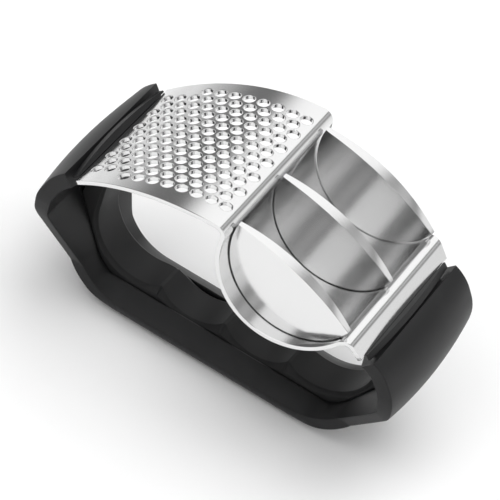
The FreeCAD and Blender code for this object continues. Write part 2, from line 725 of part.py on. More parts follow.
def inside_outline(body, name):
    """Side view of the space inside the bow, closed across the top."""
    sketch = new_sketch(body, name, "XZ_Plane")
    corner_x = wall_points(size("band_total"), "right")["corner_start"][0]
    base = add_base(sketch, "band_total", -corner_x, corner_x)
    place_z(sketch, base, 1, "{band_total}")
    right, right_end = add_wall(sketch, base, 2, "band_total", "right", "channel_top", True)
    left, left_end = add_wall(sketch, base, 1, "band_total", "left", "channel_top", True)
    lid = sketch.addGeometry(Part.LineSegment(sketch.getPoint(right, right_end),
                                              sketch.getPoint(left, left_end)))
    join(sketch, (right, right_end), (lid, 1))
    join(sketch, (left, left_end), (lid, 2))
    doc.recompute()
    return sketch


def front_outline(body):
    """End view: the bow is wide at the steel and narrows to a rounded palm."""
    sketch = new_sketch(body, "FrontOutline", "YZ_Plane")
    flat, palm, edge = size("palm_flat"), size("palm_half"), size("palm_edge_radius")
    waist, waist_z = size("flare_foot_half"), size("flare_foot_z")
    wide, wide_z = size("bow_half_width"), size("right_shoulder_z")
    high = size("press_height")
    reach = size("bow_width")
    for side in (1, -1):
        left = side < 0
        arc = sketch.addGeometry(mirror_arc("left" if left else "right", (side * flat, edge), edge,
                                            (side * flat, 0), (side * palm, edge)))
        low_end, high_end = (2, 1) if left else (1, 2)
        path = [(palm, edge), (waist, waist_z), (wide, wide_z), (wide, high), (reach, high),
                (reach, 0), (flat, 0)]
        lines = [sketch.addGeometry(Part.LineSegment(point(side * a[0], a[1]), point(side * b[0], b[1])))
                 for a, b in zip(path, path[1:])]
        join(sketch, (arc, high_end), (lines[0], 1))
        for first, second in zip(lines, lines[1:]):
            join(sketch, (first, 2), (second, 1))
        join(sketch, (lines[-1], 2), (arc, low_end))
        radius_of(sketch, arc, "{palm_edge_radius}")
        names = [("{palm_half}", "{palm_edge_radius}"), ("{flare_foot_half}", "{flare_foot_z}"),
                 ("{bow_half_width}", "{right_shoulder_z}"), ("{bow_half_width}", "{press_height}"),
                 ("{bow_width}", "{press_height}")]
        for line, (across, height) in zip(lines, names):
            place_x(sketch, line, 1, across, left=left)
            place_z(sketch, line, 1, height)
        place_x(sketch, lines[5], 1, "{bow_width}", left=left)
        place_x(sketch, lines[5], 2, "{palm_flat}", left=left)
        sketch.addConstraint(Sketcher.Constraint("PointOnObject", lines[5], 1, -1))
        sketch.addConstraint(Sketcher.Constraint("PointOnObject", lines[5], 2, -1))
    doc.recompute()
    return sketch


def cut_box(body, name, turn, at_x, at_z, length, width, height):
    """Cut a box that is turned about Y; its length runs along the plate and its height across it."""
    box = body.newObject("PartDesign::SubtractiveBox", name)
    box.Placement = FreeCAD.Placement(
        FreeCAD.Vector(), FreeCAD.Rotation(FreeCAD.Vector(0, 1, 0), 10))
    bind(box, "Placement.Rotation.Angle", turn)
    bind(box, "Placement.Base.x", at_x)
    bind(box, "Placement.Base.y", "-(%s) / 2" % width)
    bind(box, "Placement.Base.z", at_z)
    bind(box, "Length", length)
    bind(box, "Width", width)
    bind(box, "Height", height)
    doc.recompute()
    return box


def make_bow():
    body = new_body("handle_bow")
    palm = body.newObject("PartDesign::Pad", "PalmBlock")
    palm.Profile = palm_side(body)
    palm.Midplane = True
    bind(palm, "Length", "{palm_width}")
    doc.recompute()
    section = band_section(body)
    for side in ("right", "left"):
        wall = body.newObject("PartDesign::AdditivePipe", side.capitalize() + "Wall")
        wall.Profile = section
        wall.Spine = (bow_spine(body, side), [])
        doc.recompute()
    channel = body.newObject("PartDesign::Pocket", "GripChannel")
    channel.Profile = inside_outline(body, "GripChannelOutline")
    channel.Midplane = True
    bind(channel, "Length", "{channel_width}")
    doc.recompute()
    flare = body.newObject("PartDesign::Pocket", "Flare")
    flare.Profile = front_outline(body)
    flare.Type = "ThroughAll"
    flare.Midplane = True
    doc.recompute()
    # Sockets for the tongues, and end faces square to the plate.
    cut_box(body, "RightSocket", "{tab_angle} * 1 deg",
            "{right_end_x} - {socket_lead} * cos({tab_angle}) - ({plate_gauge} + {socket_fit})"
            " * sin({tab_angle})",
            "{right_end_z} + {socket_lead} * sin({tab_angle}) - ({plate_gauge} + {socket_fit})"
            " * cos({tab_angle})",
            "{socket_lead} + {socket_length}", "{socket_width}", "{socket_height}")
    cut_box(body, "RightEndTrim", "(180 + {tab_angle}) * 1 deg",
            "{right_end_x} + {trim_reach} * sin({tab_angle})",
            "{right_end_z} + {trim_reach} * cos({tab_angle})",
            "{trim_reach}", "2 * {bow_width}", "2 * {trim_reach}")
    cut_box(body, "LeftSocket", "(180 - {left_socket_angle}) * 1 deg",
            "-{left_end_x} + {socket_lead} * cos({left_socket_angle})"
            " - {socket_fit} * sin({left_socket_angle})",
            "{left_end_z} + {socket_lead} * sin({left_socket_angle})"
            " + {socket_fit} * cos({left_socket_angle})",
            "{socket_lead} + {socket_length}", "{socket_width}", "{socket_height}")
    cut_box(body, "LeftEndTrim", "{left_socket_angle} * -1 deg",
            "-{left_end_x} + {trim_reach} * sin({left_socket_angle})",
            "{left_end_z} - {trim_reach} * cos({left_socket_angle})",
            "{trim_reach}", "2 * {bow_width}", "2 * {trim_reach}")
    return body


# ---------------------------------------------------------------- finger grip

def grip_profile(body):
    """Side view of the finger grip: the bow's inside below, finger grooves above."""
    sketch = new_sketch(body, "GripProfile", "XZ_Plane")
    corner_x = wall_points(size("grip_offset"), "right")["corner_start"][0]
    base = add_base(sketch, "grip_offset", -corner_x, corner_x)
    place_z(sketch, base, 1, "{grip_offset}")
    pitch, flat, height = size("ridge_pitch"), size("ridge_flat"), size("ridge_height")
    ridges = []
    for step in (-1, 0, 1):
        ridge = sketch.addGeometry(Part.LineSegment(point(step * pitch - flat, height),
                                                    point(step * pitch + flat, height)))
        sketch.addConstraint(Sketcher.Constraint("Horizontal", ridge))
        place_z(sketch, ridge, 1, "{ridge_height}")
        if step < 0:
            place_x(sketch, ridge, 1, "{ridge_pitch} + {ridge_flat}", left=True)
            place_x(sketch, ridge, 2, "{ridge_pitch} - {ridge_flat}", left=True)
        elif step > 0:
            place_x(sketch, ridge, 1, "{ridge_pitch} - {ridge_flat}")
            place_x(sketch, ridge, 2, "{ridge_pitch} + {ridge_flat}")
        else:
            place_x(sketch, ridge, 1, "{ridge_flat}", left=True)
            place_x(sketch, ridge, 2, "{ridge_flat}")
        ridges.append(ridge)
    groove = size("groove_radius")
    half_chord = size("groove_half")
    for index, middle in enumerate((-pitch / 2, pitch / 2)):
        centre = (middle, height + math.sqrt(groove ** 2 - half_chord ** 2))
        arc = sketch.addGeometry(arc_between(centre, groove, (middle - half_chord, height),
                                             (middle + half_chord, height)))
        join(sketch, (ridges[index], 2), (arc, 1))
        join(sketch, (arc, 2), (ridges[index + 1], 1))
        radius_of(sketch, arc, "{groove_radius}")
    end_radius, face_x = size("end_groove_radius"), size("end_face_x")
    centre_x = face_x - end_radius
    centre_z = height + math.sqrt(end_radius ** 2 - (centre_x - pitch - flat) ** 2)
    for side, ridge, ridge_end in (("right", ridges[2], 2), ("left", ridges[0], 1)):
        sign = -1 if side == "left" else 1
        shoulder, shoulder_end = add_wall(sketch, base, 1 if side == "left" else 2, "grip_offset",
                                          side, "grip_end_z", True)
        low_end, high_end = (2, 1) if side == "left" else (1, 2)
        arc = sketch.addGeometry(mirror_arc(side, (sign * centre_x, centre_z), end_radius,
                                            (sign * (pitch + flat), height),
                                            (sign * face_x, centre_z)))
        face = sketch.addGeometry(Part.LineSegment(point(sign * face_x, centre_z),
                                                   point(sign * face_x, size("grip_end_z"))))
        lid = sketch.addGeometry(Part.LineSegment(point(sign * face_x, size("grip_end_z")),
                                                  sketch.getPoint(shoulder, shoulder_end)))
        join(sketch, (ridge, ridge_end), (arc, low_end))
        sketch.addConstraint(Sketcher.Constraint("Tangent", arc, high_end, face, 1))
        join(sketch, (face, 2), (lid, 1))
        join(sketch, (lid, 2), (shoulder, shoulder_end))
        sketch.addConstraint(Sketcher.Constraint("Vertical", face))
        sketch.addConstraint(Sketcher.Constraint("Horizontal", lid))
        radius_of(sketch, arc, "{end_groove_radius}")
        place_x(sketch, face, 2, "{end_face_x}", left=side == "left")
    doc.recompute()
    return sketch


def groove_edges(shape):
    """Names of the front and rear edges round the finger side of the grip."""
    half = size("grip_width") / 2
    names = []
    for number, edge in enumerate(shape.Edges, 1):
        box = edge.BoundBox
        on_side = box.YLength < 0.01 and abs(abs(box.Center.y) - half) < 0.01
        middle = edge.valueAt((edge.FirstParameter + edge.LastParameter) / 2)
        inside = size("band_total") + 1.0 < middle.z < size("grip_end_z") - 0.5
        finger_side = abs(middle.x) < size("end_face_x") + 0.01 and (
            middle.z > middle_wall_height(abs(middle.x)) + 0.5)
        if on_side and inside and finger_side:
            names.append("Edge%d" % number)
    return names


def middle_wall_height(x):
    """Height of the bow's inner face at a distance from the middle, as the grip meets it."""
    at = wall_points(size("grip_offset"), "right")
    corner = size("corner_radius") - size("grip_offset")
    centre_x, centre_z = at["corner_centre"]
    if x <= centre_x:
        return size("grip_offset")
    if x <= at["corner_end"][0]:
        return centre_z - math.sqrt(corner ** 2 - (x - centre_x) ** 2)
    return at["corner_end"][1] + (x - at["corner_end"][0]) * math.tan(math.radians(size("slant_angle")))


def make_grip():
    body = new_body("finger_grip")
    pad = body.newObject("PartDesign::Pad", "GripBlock")
    pad.Profile = grip_profile(body)
    pad.Midplane = True
    bind(pad, "Length", "{grip_width}")
    doc.recompute()
    chamfer = body.newObject("PartDesign::Chamfer", "FingerSideChamfer")
    chamfer.Base = (pad, groove_edges(body.Shape))
    bind(chamfer, "Size", "{grip_chamfer}")
    doc.recompute()
    return body


# ---------------------------------------------------------------- clamp strips

def make_strip(name, turn, axis_turn, base_x, base_z, crown_x, crown_z):
    """A thin crowned bar that lies on the plate against the end face of the bow."""
    bar = doc.addObject("Part::Box", name + "_bar")
    crown = doc.addObject("Part::Cylinder", name + "_crown")
    for solid, angle in ((bar, turn), (crown, axis_turn)):
        solid.Placement = FreeCAD.Placement(
            FreeCAD.Vector(), FreeCAD.Rotation(FreeCAD.Vector(0, 1, 0), 10))
        bind(solid, "Placement.Rotation.Angle", angle)
    bind(bar, "Length", "{strip_width}")
    bind(bar, "Width", "{strip_length}")
    bind(bar, "Height", "{strip_rise}")
    bind(bar, "Placement.Base.x", base_x)
    bind(bar, "Placement.Base.y", "-{strip_length} / 2")
    bind(bar, "Placement.Base.z", base_z)
    bind(crown, "Radius", "{strip_radius}")
    bind(crown, "Height", "{strip_width}")
    bind(crown, "Placement.Base.x", crown_x)
    bind(crown, "Placement.Base.z", crown_z)
    strip = doc.addObject("Part::MultiCommon", name)
    strip.Label = name
    strip.Shapes = [bar, crown]
    return strip


def make_strips():
    """One strip on each end of the plate, the right one on the tab and the left on the rocker."""
    drop = "({strip_radius} - {strip_rise} - {strip_fit})"
    right_x = "{right_end_x} - ({strip_width} + {strip_fit}) * cos({tab_angle})"
    right_z = "{right_end_z} + ({strip_width} + {strip_fit}) * sin({tab_angle})"
    left_x = "-{left_end_x} + {strip_fit} * cos({left_angle})"
    left_z = "{left_end_z} + {strip_fit} * sin({left_angle})"
    right = make_strip("clamp_strip_right", "{tab_angle} * 1 deg", "(90 + {tab_angle}) * 1 deg",
                       right_x + " + {strip_fit} * sin({tab_angle})",
                       right_z + " + {strip_fit} * cos({tab_angle})",
                       right_x + " - " + drop + " * sin({tab_angle})",
                       right_z + " - " + drop + " * cos({tab_angle})")
    left = make_strip("clamp_strip_left", "-{left_angle}", "90 deg - {left_angle}",
                      left_x + " - {strip_fit} * sin({left_angle})",
                      left_z + " + {strip_fit} * cos({left_angle})",
                      left_x + " + " + drop + " * sin({left_angle})",
                      left_z + " - " + drop + " * cos({left_angle})")
    return [left, right]


def check(parts):
    """Stop if anything failed, or if a piece is empty or not a valid solid."""
    for thing in doc.Objects:
        if "Invalid" in thing.State or "Error" in thing.State:
            raise RuntimeError("%s could not be built: %s" % (thing.Name, thing.State))
    for part in parts:
        if part.Shape.isNull() or not part.Shape.isValid() or len(part.Shape.Solids) != 1:
            raise RuntimeError("%s is not one valid solid" % part.Label)


def main():
    parts = [make_plate()]
    for place, name in ((-1, "blade_front"), (0, "blade_middle"), (1, "blade_rear")):
        parts.append(make_blade(name, place))
    parts.append(make_bow())
    parts.append(make_grip())
    parts += make_strips()
    doc.recompute()
    check(parts)
    os.makedirs(OUT_FOLDER, exist_ok=True)
    for part in parts:
        part.Shape.exportStep("%s/%s.step" % (OUT_FOLDER, part.Label))
        print("%-18s %9.1f mm3" % (part.Label, part.Shape.Volume))


main()
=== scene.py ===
"""Looks of a rocking garlic press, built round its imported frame.

A bright pressed sheet carries a perforated rocker and a trough with three blades.  A black
moulded bow holds both of its ends, and a scalloped finger grip lines the inside of the bow.
Shapes are worked out in millimetres in the frame's own axes and turned to metres at the end.
"""
import logging
import math
from dataclasses import dataclass, field
from enum import Enum

import bmesh
import bpy
from mathutils import Matrix, Vector
from mathutils.geometry import delaunay_2d_cdt

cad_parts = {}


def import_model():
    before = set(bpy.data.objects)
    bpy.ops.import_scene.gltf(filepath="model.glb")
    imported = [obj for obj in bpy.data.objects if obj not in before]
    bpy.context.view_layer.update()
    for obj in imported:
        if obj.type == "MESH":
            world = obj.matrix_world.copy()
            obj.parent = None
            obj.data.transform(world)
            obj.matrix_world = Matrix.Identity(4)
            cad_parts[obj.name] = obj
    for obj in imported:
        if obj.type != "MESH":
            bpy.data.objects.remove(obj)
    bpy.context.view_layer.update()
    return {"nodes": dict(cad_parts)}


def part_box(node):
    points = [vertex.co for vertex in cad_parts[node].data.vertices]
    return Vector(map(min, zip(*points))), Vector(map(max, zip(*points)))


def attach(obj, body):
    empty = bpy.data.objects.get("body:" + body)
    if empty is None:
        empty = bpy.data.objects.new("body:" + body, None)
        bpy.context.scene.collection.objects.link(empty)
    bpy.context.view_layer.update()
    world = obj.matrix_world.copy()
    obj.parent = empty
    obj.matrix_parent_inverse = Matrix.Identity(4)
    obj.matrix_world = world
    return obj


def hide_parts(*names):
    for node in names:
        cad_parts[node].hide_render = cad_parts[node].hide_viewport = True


MM = 0.001
CREST_CUT = 0.12  # height in millimetres that the step's bend takes off the rocker's crest
ROOT_BODY = "root"
LOG = logging.getLogger("garlic_press")

FACE_WEIGHT = 60  # how strongly large faces pull the shading of their corners
QUARTER = math.pi / 2
ROUND_CUT = 0.29  # how far a rounded corner's middle lies from its sharp corner, per radius
MERGE = 1e-6  # distance in millimetres at which two points of the flattened sheet are one
TINY = 0.001  # smallest length in millimetres that counts
NO_CREASE = 180.0  # angle in degrees that leaves no edge crisp

Pair = tuple[float, float]
Point = tuple[float, float, float]
# A span is "arc", centre, radius, first angle, last angle and the sign of its outward way, or
# "line", first end, last end and its outward way.
Span = tuple


class Slot(Enum):
    """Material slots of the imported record."""

    STEEL = "polished_steel"
    BLADE = "blade_steel"
    HANDLE = "black_handle"
    GRIP = "black_grip"


class Side(Enum):
    """The two ends of the press."""

    LEFT = -1
    RIGHT = 1


# ---------------------------------------------------------------- node helpers

class NodeBench:
    """A material or world tree with short calls to add and link its nodes."""

    def __init__(self, tree: bpy.types.NodeTree) -> None:
        """Start from an empty tree.

        Args:
            tree: the node tree to fill.
        """
        self.tree = tree
        tree.nodes.clear()

    def add(self, kind: str, **values: object) -> bpy.types.Node:
        """Add a node and set its properties or its input sockets by name.

        Args:
            kind: the node's type name.
            values: property names, or socket names with spaces as underscores.

        Returns:
            The new node.
        """
        node = self.tree.nodes.new(kind)
        for name, value in values.items():
            if hasattr(node, name):
                setattr(node, name, value)
            else:
                node.inputs[name.replace("_", " ")].default_value = value
        return node

    def link(self, source: bpy.types.NodeSocket, target: bpy.types.NodeSocket) -> None:
        """Link one socket to another."""
        self.tree.links.new(source, target)

    def math(self, operation: str, first: object, second: object = 0.0) -> bpy.types.NodeSocket:
        """Work out one number from two numbers or sockets.

        Args:
            operation: the math node's operation.
            first: a number or an output socket.
            second: a number or an output socket.

        Returns:
            The result's socket.
        """
        node = self.tree.nodes.new("ShaderNodeMath")
        node.operation = operation
        for socket, value in zip(node.inputs, (first, second)):
            if isinstance(value, bpy.types.NodeSocket):
                self.link(value, socket)
            else:
                socket.default_value = value
        return node.outputs[0]

    def ramp(self, factor: bpy.types.NodeSocket,
             stops: tuple[Pair, ...]) -> bpy.types.NodeSocket:
        """Turn a number into a grey that eases between stops of place and brightness.

        Args:
            factor: the number from 0 to 1.
            stops: place and grey of each stop, in order.

        Returns:
            The grey's socket.
        """
        node = self.tree.nodes.new("ShaderNodeValToRGB")
        band = node.color_ramp
        band.interpolation = "EASE"
        while len(band.elements) < len(stops):
            band.elements.new(1.0)
        for element, (place, grey) in zip(band.elements, stops):
            element.position = place
            element.color = (grey, grey, grey, 1.0)
        self.link(factor, node.inputs["Fac"])
        return node.outputs["Color"]


# ---------------------------------------------------------------- finishes

@dataclass(frozen=True)
class SteelFinish:
    """Bright stainless sheet with a fine rolled grain along the press.

    Attributes:
        name: the material's name.
        tint: colour of the bare metal.
        roughness: middle of the gloss range.
        spread: how far the gloss wanders.
        grain: size of the rolled streaks, in streaks per metre across the grain.
        stretch: how much longer a streak is than it is wide.
        relief: strength of the grain in the bump.
        depth: depth of the grain in metres.
        clouds: soft patches of gloss per metre.
        cloud_share: how far the patches change the gloss, against the grain.
        valley: brightness of the grain's valleys, against its ridges.
    """

    name: str
    tint: Point
    roughness: float
    spread: float
    grain: float
    stretch: float
    relief: float
    depth: float = 0.00001
    clouds: float = 55.0
    cloud_share: float = 0.8
    valley: float = 0.93

    def build(self) -> bpy.types.Material:
        """Make the material.

        Returns:
            The steel.
        """
        material = bpy.data.materials.new(self.name)
        material.use_nodes = True
        bench = NodeBench(material.node_tree)
        out = bench.add("ShaderNodeOutputMaterial")
        shader = bench.add("ShaderNodeBsdfPrincipled", Metallic=1.0)
        place = bench.add("ShaderNodeTexCoord")
        along = bench.add("ShaderNodeMapping")
        along.inputs["Scale"].default_value = (self.grain / self.stretch, self.grain, self.grain)
        bench.link(place.outputs["Object"], along.inputs["Vector"])
        streaks = bench.add("ShaderNodeTexNoise", Scale=1.0, Detail=5.0, Roughness=0.6)
        bench.link(along.outputs["Vector"], streaks.inputs["Vector"])
        clouds = bench.add("ShaderNodeTexNoise", Scale=self.clouds, Detail=3.0,
                           Roughness=0.5)
        bench.link(place.outputs["Object"], clouds.inputs["Vector"])
        wander = bench.math("MULTIPLY", bench.math("SUBTRACT", streaks.outputs["Fac"], 0.5),
                            self.spread)
        drift = bench.math("MULTIPLY", bench.math("SUBTRACT", clouds.outputs["Fac"], 0.5),
                           self.spread * self.cloud_share)
        gloss = bench.math("ADD", bench.math("ADD", wander, drift), self.roughness)
        bench.link(gloss, shader.inputs["Roughness"])
        shade = bench.add("ShaderNodeMix", data_type="RGBA")
        shade.inputs["A"].default_value = (*[c * self.valley for c in self.tint], 1.0)
        shade.inputs["B"].default_value = (*self.tint, 1.0)
        bench.link(streaks.outputs["Fac"], shade.inputs["Factor"])
        bench.link(shade.outputs["Result"], shader.inputs["Base Color"])
        bump = bench.add("ShaderNodeBump", Strength=self.relief, Distance=self.depth)
        bench.link(streaks.outputs["Fac"], bump.inputs["Height"])
        bench.link(bump.outputs["Normal"], shader.inputs["Normal"])
        bench.link(shader.outputs["BSDF"], out.inputs["Surface"])
        return material


@dataclass(frozen=True)
class MouldedFinish:
    """Black moulded plastic or rubber with a fine cast texture and faint handling marks.

    Attributes:
        name: the material's name.
        tint: colour of the moulding.
        worn: colour where hands have rubbed it.
        roughness: middle of the gloss range.
        spread: how far the gloss wanders.
        grain: grains of the cast texture per metre.
        relief: strength of the texture in the bump.
        depth: depth of the texture in metres.
        patches: rubbed patches per metre.
        wear: ends of the change from fresh to rubbed, on the patches' own scale.
        ior: index of refraction.
        shine: strength of the surface reflection.
    """

    name: str
    tint: Point
    worn: Point
    roughness: float
    spread: float
    grain: float
    relief: float
    depth: float = 0.00004
    patches: float = 70.0
    wear: Pair = (0.45, 0.75)
    ior: float = 1.5
    shine: float = 0.3

    def build(self) -> bpy.types.Material:
        """Make the material.

        Returns:
            The moulding's finish.
        """
        material = bpy.data.materials.new(self.name)
        material.use_nodes = True
        bench = NodeBench(material.node_tree)
        out = bench.add("ShaderNodeOutputMaterial")
        shader = bench.add("ShaderNodeBsdfPrincipled")
        shader.inputs["IOR"].default_value = self.ior
        shader.inputs["Specular IOR Level"].default_value = self.shine
        place = bench.add("ShaderNodeTexCoord")
        cast = bench.add("ShaderNodeTexNoise", Scale=self.grain, Detail=3.0, Roughness=0.55)
        rubbed = bench.add("ShaderNodeTexNoise", Scale=self.patches, Detail=4.0, Roughness=0.6)
        for texture in (cast, rubbed):
            bench.link(place.outputs["Object"], texture.inputs["Vector"])
        wander = bench.math("MULTIPLY", bench.math("SUBTRACT", rubbed.outputs["Fac"], 0.5),
                            self.spread)
        bench.link(bench.math("ADD", wander, self.roughness), shader.inputs["Roughness"])
        shade = bench.add("ShaderNodeMix", data_type="RGBA")
        shade.inputs["A"].default_value = (*self.tint, 1.0)
        shade.inputs["B"].default_value = (*self.worn, 1.0)
        fresh, worn = self.wear
        bench.link(bench.ramp(rubbed.outputs["Fac"], ((fresh, 0.0), (worn, 1.0))),
                   shade.inputs["Factor"])
        bench.link(shade.outputs["Result"], shader.inputs["Base Color"])
        bump = bench.add("ShaderNodeBump", Strength=self.relief, Distance=self.depth)
        bench.link(cast.outputs["Fac"], bump.inputs["Height"])
        bench.link(bump.outputs["Normal"], shader.inputs["Normal"])
        bench.link(shader.outputs["BSDF"], out.inputs["Surface"])
        return material


SHEET_STEEL = SteelFinish(
    name="rolled_sheet_steel", tint=(0.80, 0.80, 0.80), roughness=0.17, spread=0.08,
    grain=9000.0, stretch=26.0, relief=0.25)
CUTTING_STEEL = SteelFinish(
    name="ground_blade_steel", tint=(0.82, 0.82, 0.82), roughness=0.17, spread=0.06,
    grain=12000.0, stretch=30.0, relief=0.3)
HANDLE_PLASTIC = MouldedFinish(
    name="black_handle_plastic", tint=(0.008, 0.008, 0.0085), worn=(0.012, 0.012, 0.0125),
    roughness=0.46, spread=0.10, grain=5200.0, relief=0.25)
GRIP_RUBBER = MouldedFinish(
    name="black_grip_rubber", tint=(0.007, 0.007, 0.0075), worn=(0.011, 0.011, 0.011),
    roughness=0.55, spread=0.10, grain=6500.0, relief=0.35)


# ---------------------------------------------------------------- shared shape helpers

def lerp(first: float, second: float, part: float) -> float:
    """Number that lies a part of the way from one number to another."""
    return first + (second - first) * part


def crossing(c1: Pair, r1: float, c2: Pair, r2: float, left: bool) -> Pair:
    """Where two circles cross.

    Args:
        c1: first centre.
        r1: first radius.
        c2: second centre.
        r2: second radius.
        left: take the crossing on the left of the way from the first centre to the second.

    Returns:
        The crossing's place.
    """
    dx, dz = c2[0] - c1[0], c2[1] - c1[1]
    gap = math.hypot(dx, dz)
    along = (r1 * r1 - r2 * r2 + gap * gap) / (2 * gap)
    side = math.sqrt(r1 * r1 - along * along) * (1 if left else -1)
    return (c1[0] + (along * dx - side * dz) / gap, c1[1] + (along * dz + side * dx) / gap)


def on_circle(centre: Pair, radius: float, angle: float) -> Pair:
    """Point of a circle at an angle in radians."""
    return (centre[0] + radius * math.cos(angle), centre[1] + radius * math.sin(angle))


def make_object(name: str, points: list[Point],
                faces: list[tuple[int, ...]]) -> bpy.types.Object:
    """Make a mesh object from points in millimetres.

    Args:
        name: the piece's name.
        points: corner points.
        faces: corners of each face.

    Returns:
        The object, linked to the scene.
    """
    mesh = bpy.data.meshes.new(name)
    mesh.from_pydata([tuple(c * MM for c in p) for p in points], [], faces)
    mesh.validate()
    piece = bpy.data.objects.new(name, mesh)
    bpy.context.scene.collection.objects.link(piece)
    return piece


def face_outward(piece: bpy.types.Object) -> None:
    """Turn every face of a closed piece outward."""
    work = bmesh.new()
    work.from_mesh(piece.data)
    bmesh.ops.recalc_face_normals(work, faces=work.faces)
    work.to_mesh(piece.data)
    work.free()


def smooth(piece: bpy.types.Object, angle: float) -> None:
    """Shade a piece smoothly, with edges sharper than an angle in degrees left crisp."""
    piece.data.polygons.foreach_set("use_smooth", [True] * len(piece.data.polygons))
    piece.data.set_sharp_from_angle(angle=math.radians(angle))


def weigh_normals(piece: bpy.types.Object) -> None:
    """Let a piece's large faces look flat and its narrow edge faces carry the curve."""
    weigh = piece.modifiers.new("face_weight", "WEIGHTED_NORMAL")
    weigh.mode = "FACE_AREA"
    weigh.weight = FACE_WEIGHT
    weigh.keep_sharp = True


def finish_piece(piece: bpy.types.Object, material: bpy.types.Material, slot: Slot,
                 *nodes: str) -> bpy.types.Object:
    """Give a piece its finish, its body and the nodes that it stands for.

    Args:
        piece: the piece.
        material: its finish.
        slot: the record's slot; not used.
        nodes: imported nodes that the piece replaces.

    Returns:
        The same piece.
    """
    piece.data.materials.clear()
    piece.data.materials.append(material)
    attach(piece, ROOT_BODY)
    if nodes:
        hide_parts(*nodes)
    LOG.info("%s: %d faces", piece.name, len(piece.data.polygons))
    return piece


def loft(name: str, sections: list[list[Point]]) -> bpy.types.Object:
    """Skin closed sections of equal length and close both ends.

    Args:
        name: the piece's name.
        sections: rings of points, in order along the piece.

    Returns:
        The closed piece.
    """
    count = len(sections[0])
    points = [p for ring in sections for p in ring]
    faces: list[tuple[int, ...]] = []
    for row in range(len(sections) - 1):
        for step in range(count):
            after = (step + 1) % count
            faces.append((row * count + step, row * count + after,
                          (row + 1) * count + after, (row + 1) * count + step))
    faces.append(tuple(range(count)))
    last = (len(sections) - 1) * count
    faces.append(tuple(last + step for step in reversed(range(count))))
    piece = make_object(name, points, faces)
    face_outward(piece)
    return piece


# ---------------------------------------------------------------- pressed sheet

@dataclass
class SheetLine:
    """Upper face of the sheet in the front view, measured along its length.

    Attributes:
        top_z: height of the rocker's crest.
        rocker_radius: radius of the perforated rocker.
        trough_centre: axis of the trough.
        trough_radius: radius of the trough's upper face.
        bend_radius: outer radius of the two bends.
        tab_angle: fall of the right tab, in degrees.
        tab_end: upper corner of the tab inside the bow.
        tip_angle: angle from the crest to the left tip, in degrees.
        rows: rows of points along the rocker, step bend, trough, ridge bend and tab.
        spans: the five spans, worked out from the sizes.
    """

    top_z: float
    rocker_radius: float = 64.5
    trough_centre: Pair = (18.1, 56.8)
    trough_radius: float = 19.0
    bend_radius: float = 3.0
    tab_angle: float = 44.0
    tab_end: Pair = (45.66, 38.18)
    tip_angle: float = 48.5
    rows: tuple[int, ...] = (26, 9, 52, 9, 6)
    spans: list[Span] = field(default_factory=list)

    def __post_init__(self) -> None:
        """Work out the five spans: rocker, step bend, trough, ridge bend and tab."""
        crest = (0.0, self.top_z - self.rocker_radius)
        near, far = self.bend_radius, self.trough_radius + self.bend_radius
        step = crossing(crest, self.rocker_radius - near, self.trough_centre, far, True)
        slope = math.radians(self.tab_angle)
        along, square = (math.cos(slope), -math.sin(slope)), (math.sin(slope), math.cos(slope))
        base = (self.tab_end[0] - near * square[0], self.tab_end[1] - near * square[1])
        off = (base[0] - self.trough_centre[0], base[1] - self.trough_centre[1])
        ahead = off[0] * along[0] + off[1] * along[1]
        reach = ahead - math.sqrt(ahead ** 2 - off[0] ** 2 - off[1] ** 2 + far ** 2)
        ridge = (base[0] - reach * along[0], base[1] - reach * along[1])
        rocker_end = math.atan2(step[1] - crest[1], step[0] - crest[0])
        step_end = math.atan2(self.trough_centre[1] - step[1], self.trough_centre[0] - step[0])
        ridge_start = math.atan2(self.trough_centre[1] - ridge[1], self.trough_centre[0] - ridge[0])
        tip = math.radians(90 + self.tip_angle)
        self.spans = [
            ("arc", crest, self.rocker_radius, tip, rocker_end, 1),
            ("arc", step, near, rocker_end, step_end, 1),
            ("arc", self.trough_centre, self.trough_radius, step_end + math.pi,
             ridge_start + math.pi, -1),
            ("arc", ridge, near, ridge_start, QUARTER - slope, 1),
            ("line", (ridge[0] + near * square[0], ridge[1] + near * square[1]), self.tab_end,
             square),
        ]

    def span_length(self, span: Span) -> float:
        """Length of one span."""
        if span[0] == "arc":
            return span[2] * abs(span[4] - span[3])
        return math.dist(span[1], span[2])

    @property
    def length(self) -> float:
        """Length of the whole line."""
        return sum(self.span_length(span) for span in self.spans)

    def at(self, reach: float) -> tuple[Pair, Pair]:
        """Point and outward direction at a distance along the line.

        Args:
            reach: distance from the left tip.

        Returns:
            The point and the unit direction out of the upper face.
        """
        for span in self.spans:
            size = self.span_length(span)
            if reach <= size or span is self.spans[-1]:
                part = reach / size
                break
            reach -= size
        if span[0] == "arc":
            angle = lerp(span[3], span[4], part)
            way = (span[5] * math.cos(angle), span[5] * math.sin(angle))
            return on_circle(span[1], span[2], angle), way
        return (lerp(span[1][0], span[2][0], part), lerp(span[1][1], span[2][1], part)), span[3]

    def marks(self) -> list[float]:
        """Distances at which the sheet gets a row of points: close together in the bends."""
        found, start = [0.0], 0.0
        for span, count in zip(self.spans, self.rows):
            size = self.span_length(span)
            found += [start + size * (i + 1) / count for i in range(count)]
            start += size
        return found

    def reach_of_x(self, x: float, from_left: bool) -> float:
        """Distance along the line to a place on the rocker or on the tab.

        Args:
            x: place along the press.
            from_left: look on the rocker, or else on the tab.

        Returns:
            The distance from the left tip.
        """
        if from_left:
            return self.rocker_radius * (math.radians(self.tip_angle)
                                         + math.asin(x / self.rocker_radius))
        return self.length - (self.tab_end[0] - x) / math.cos(math.radians(self.tab_angle))


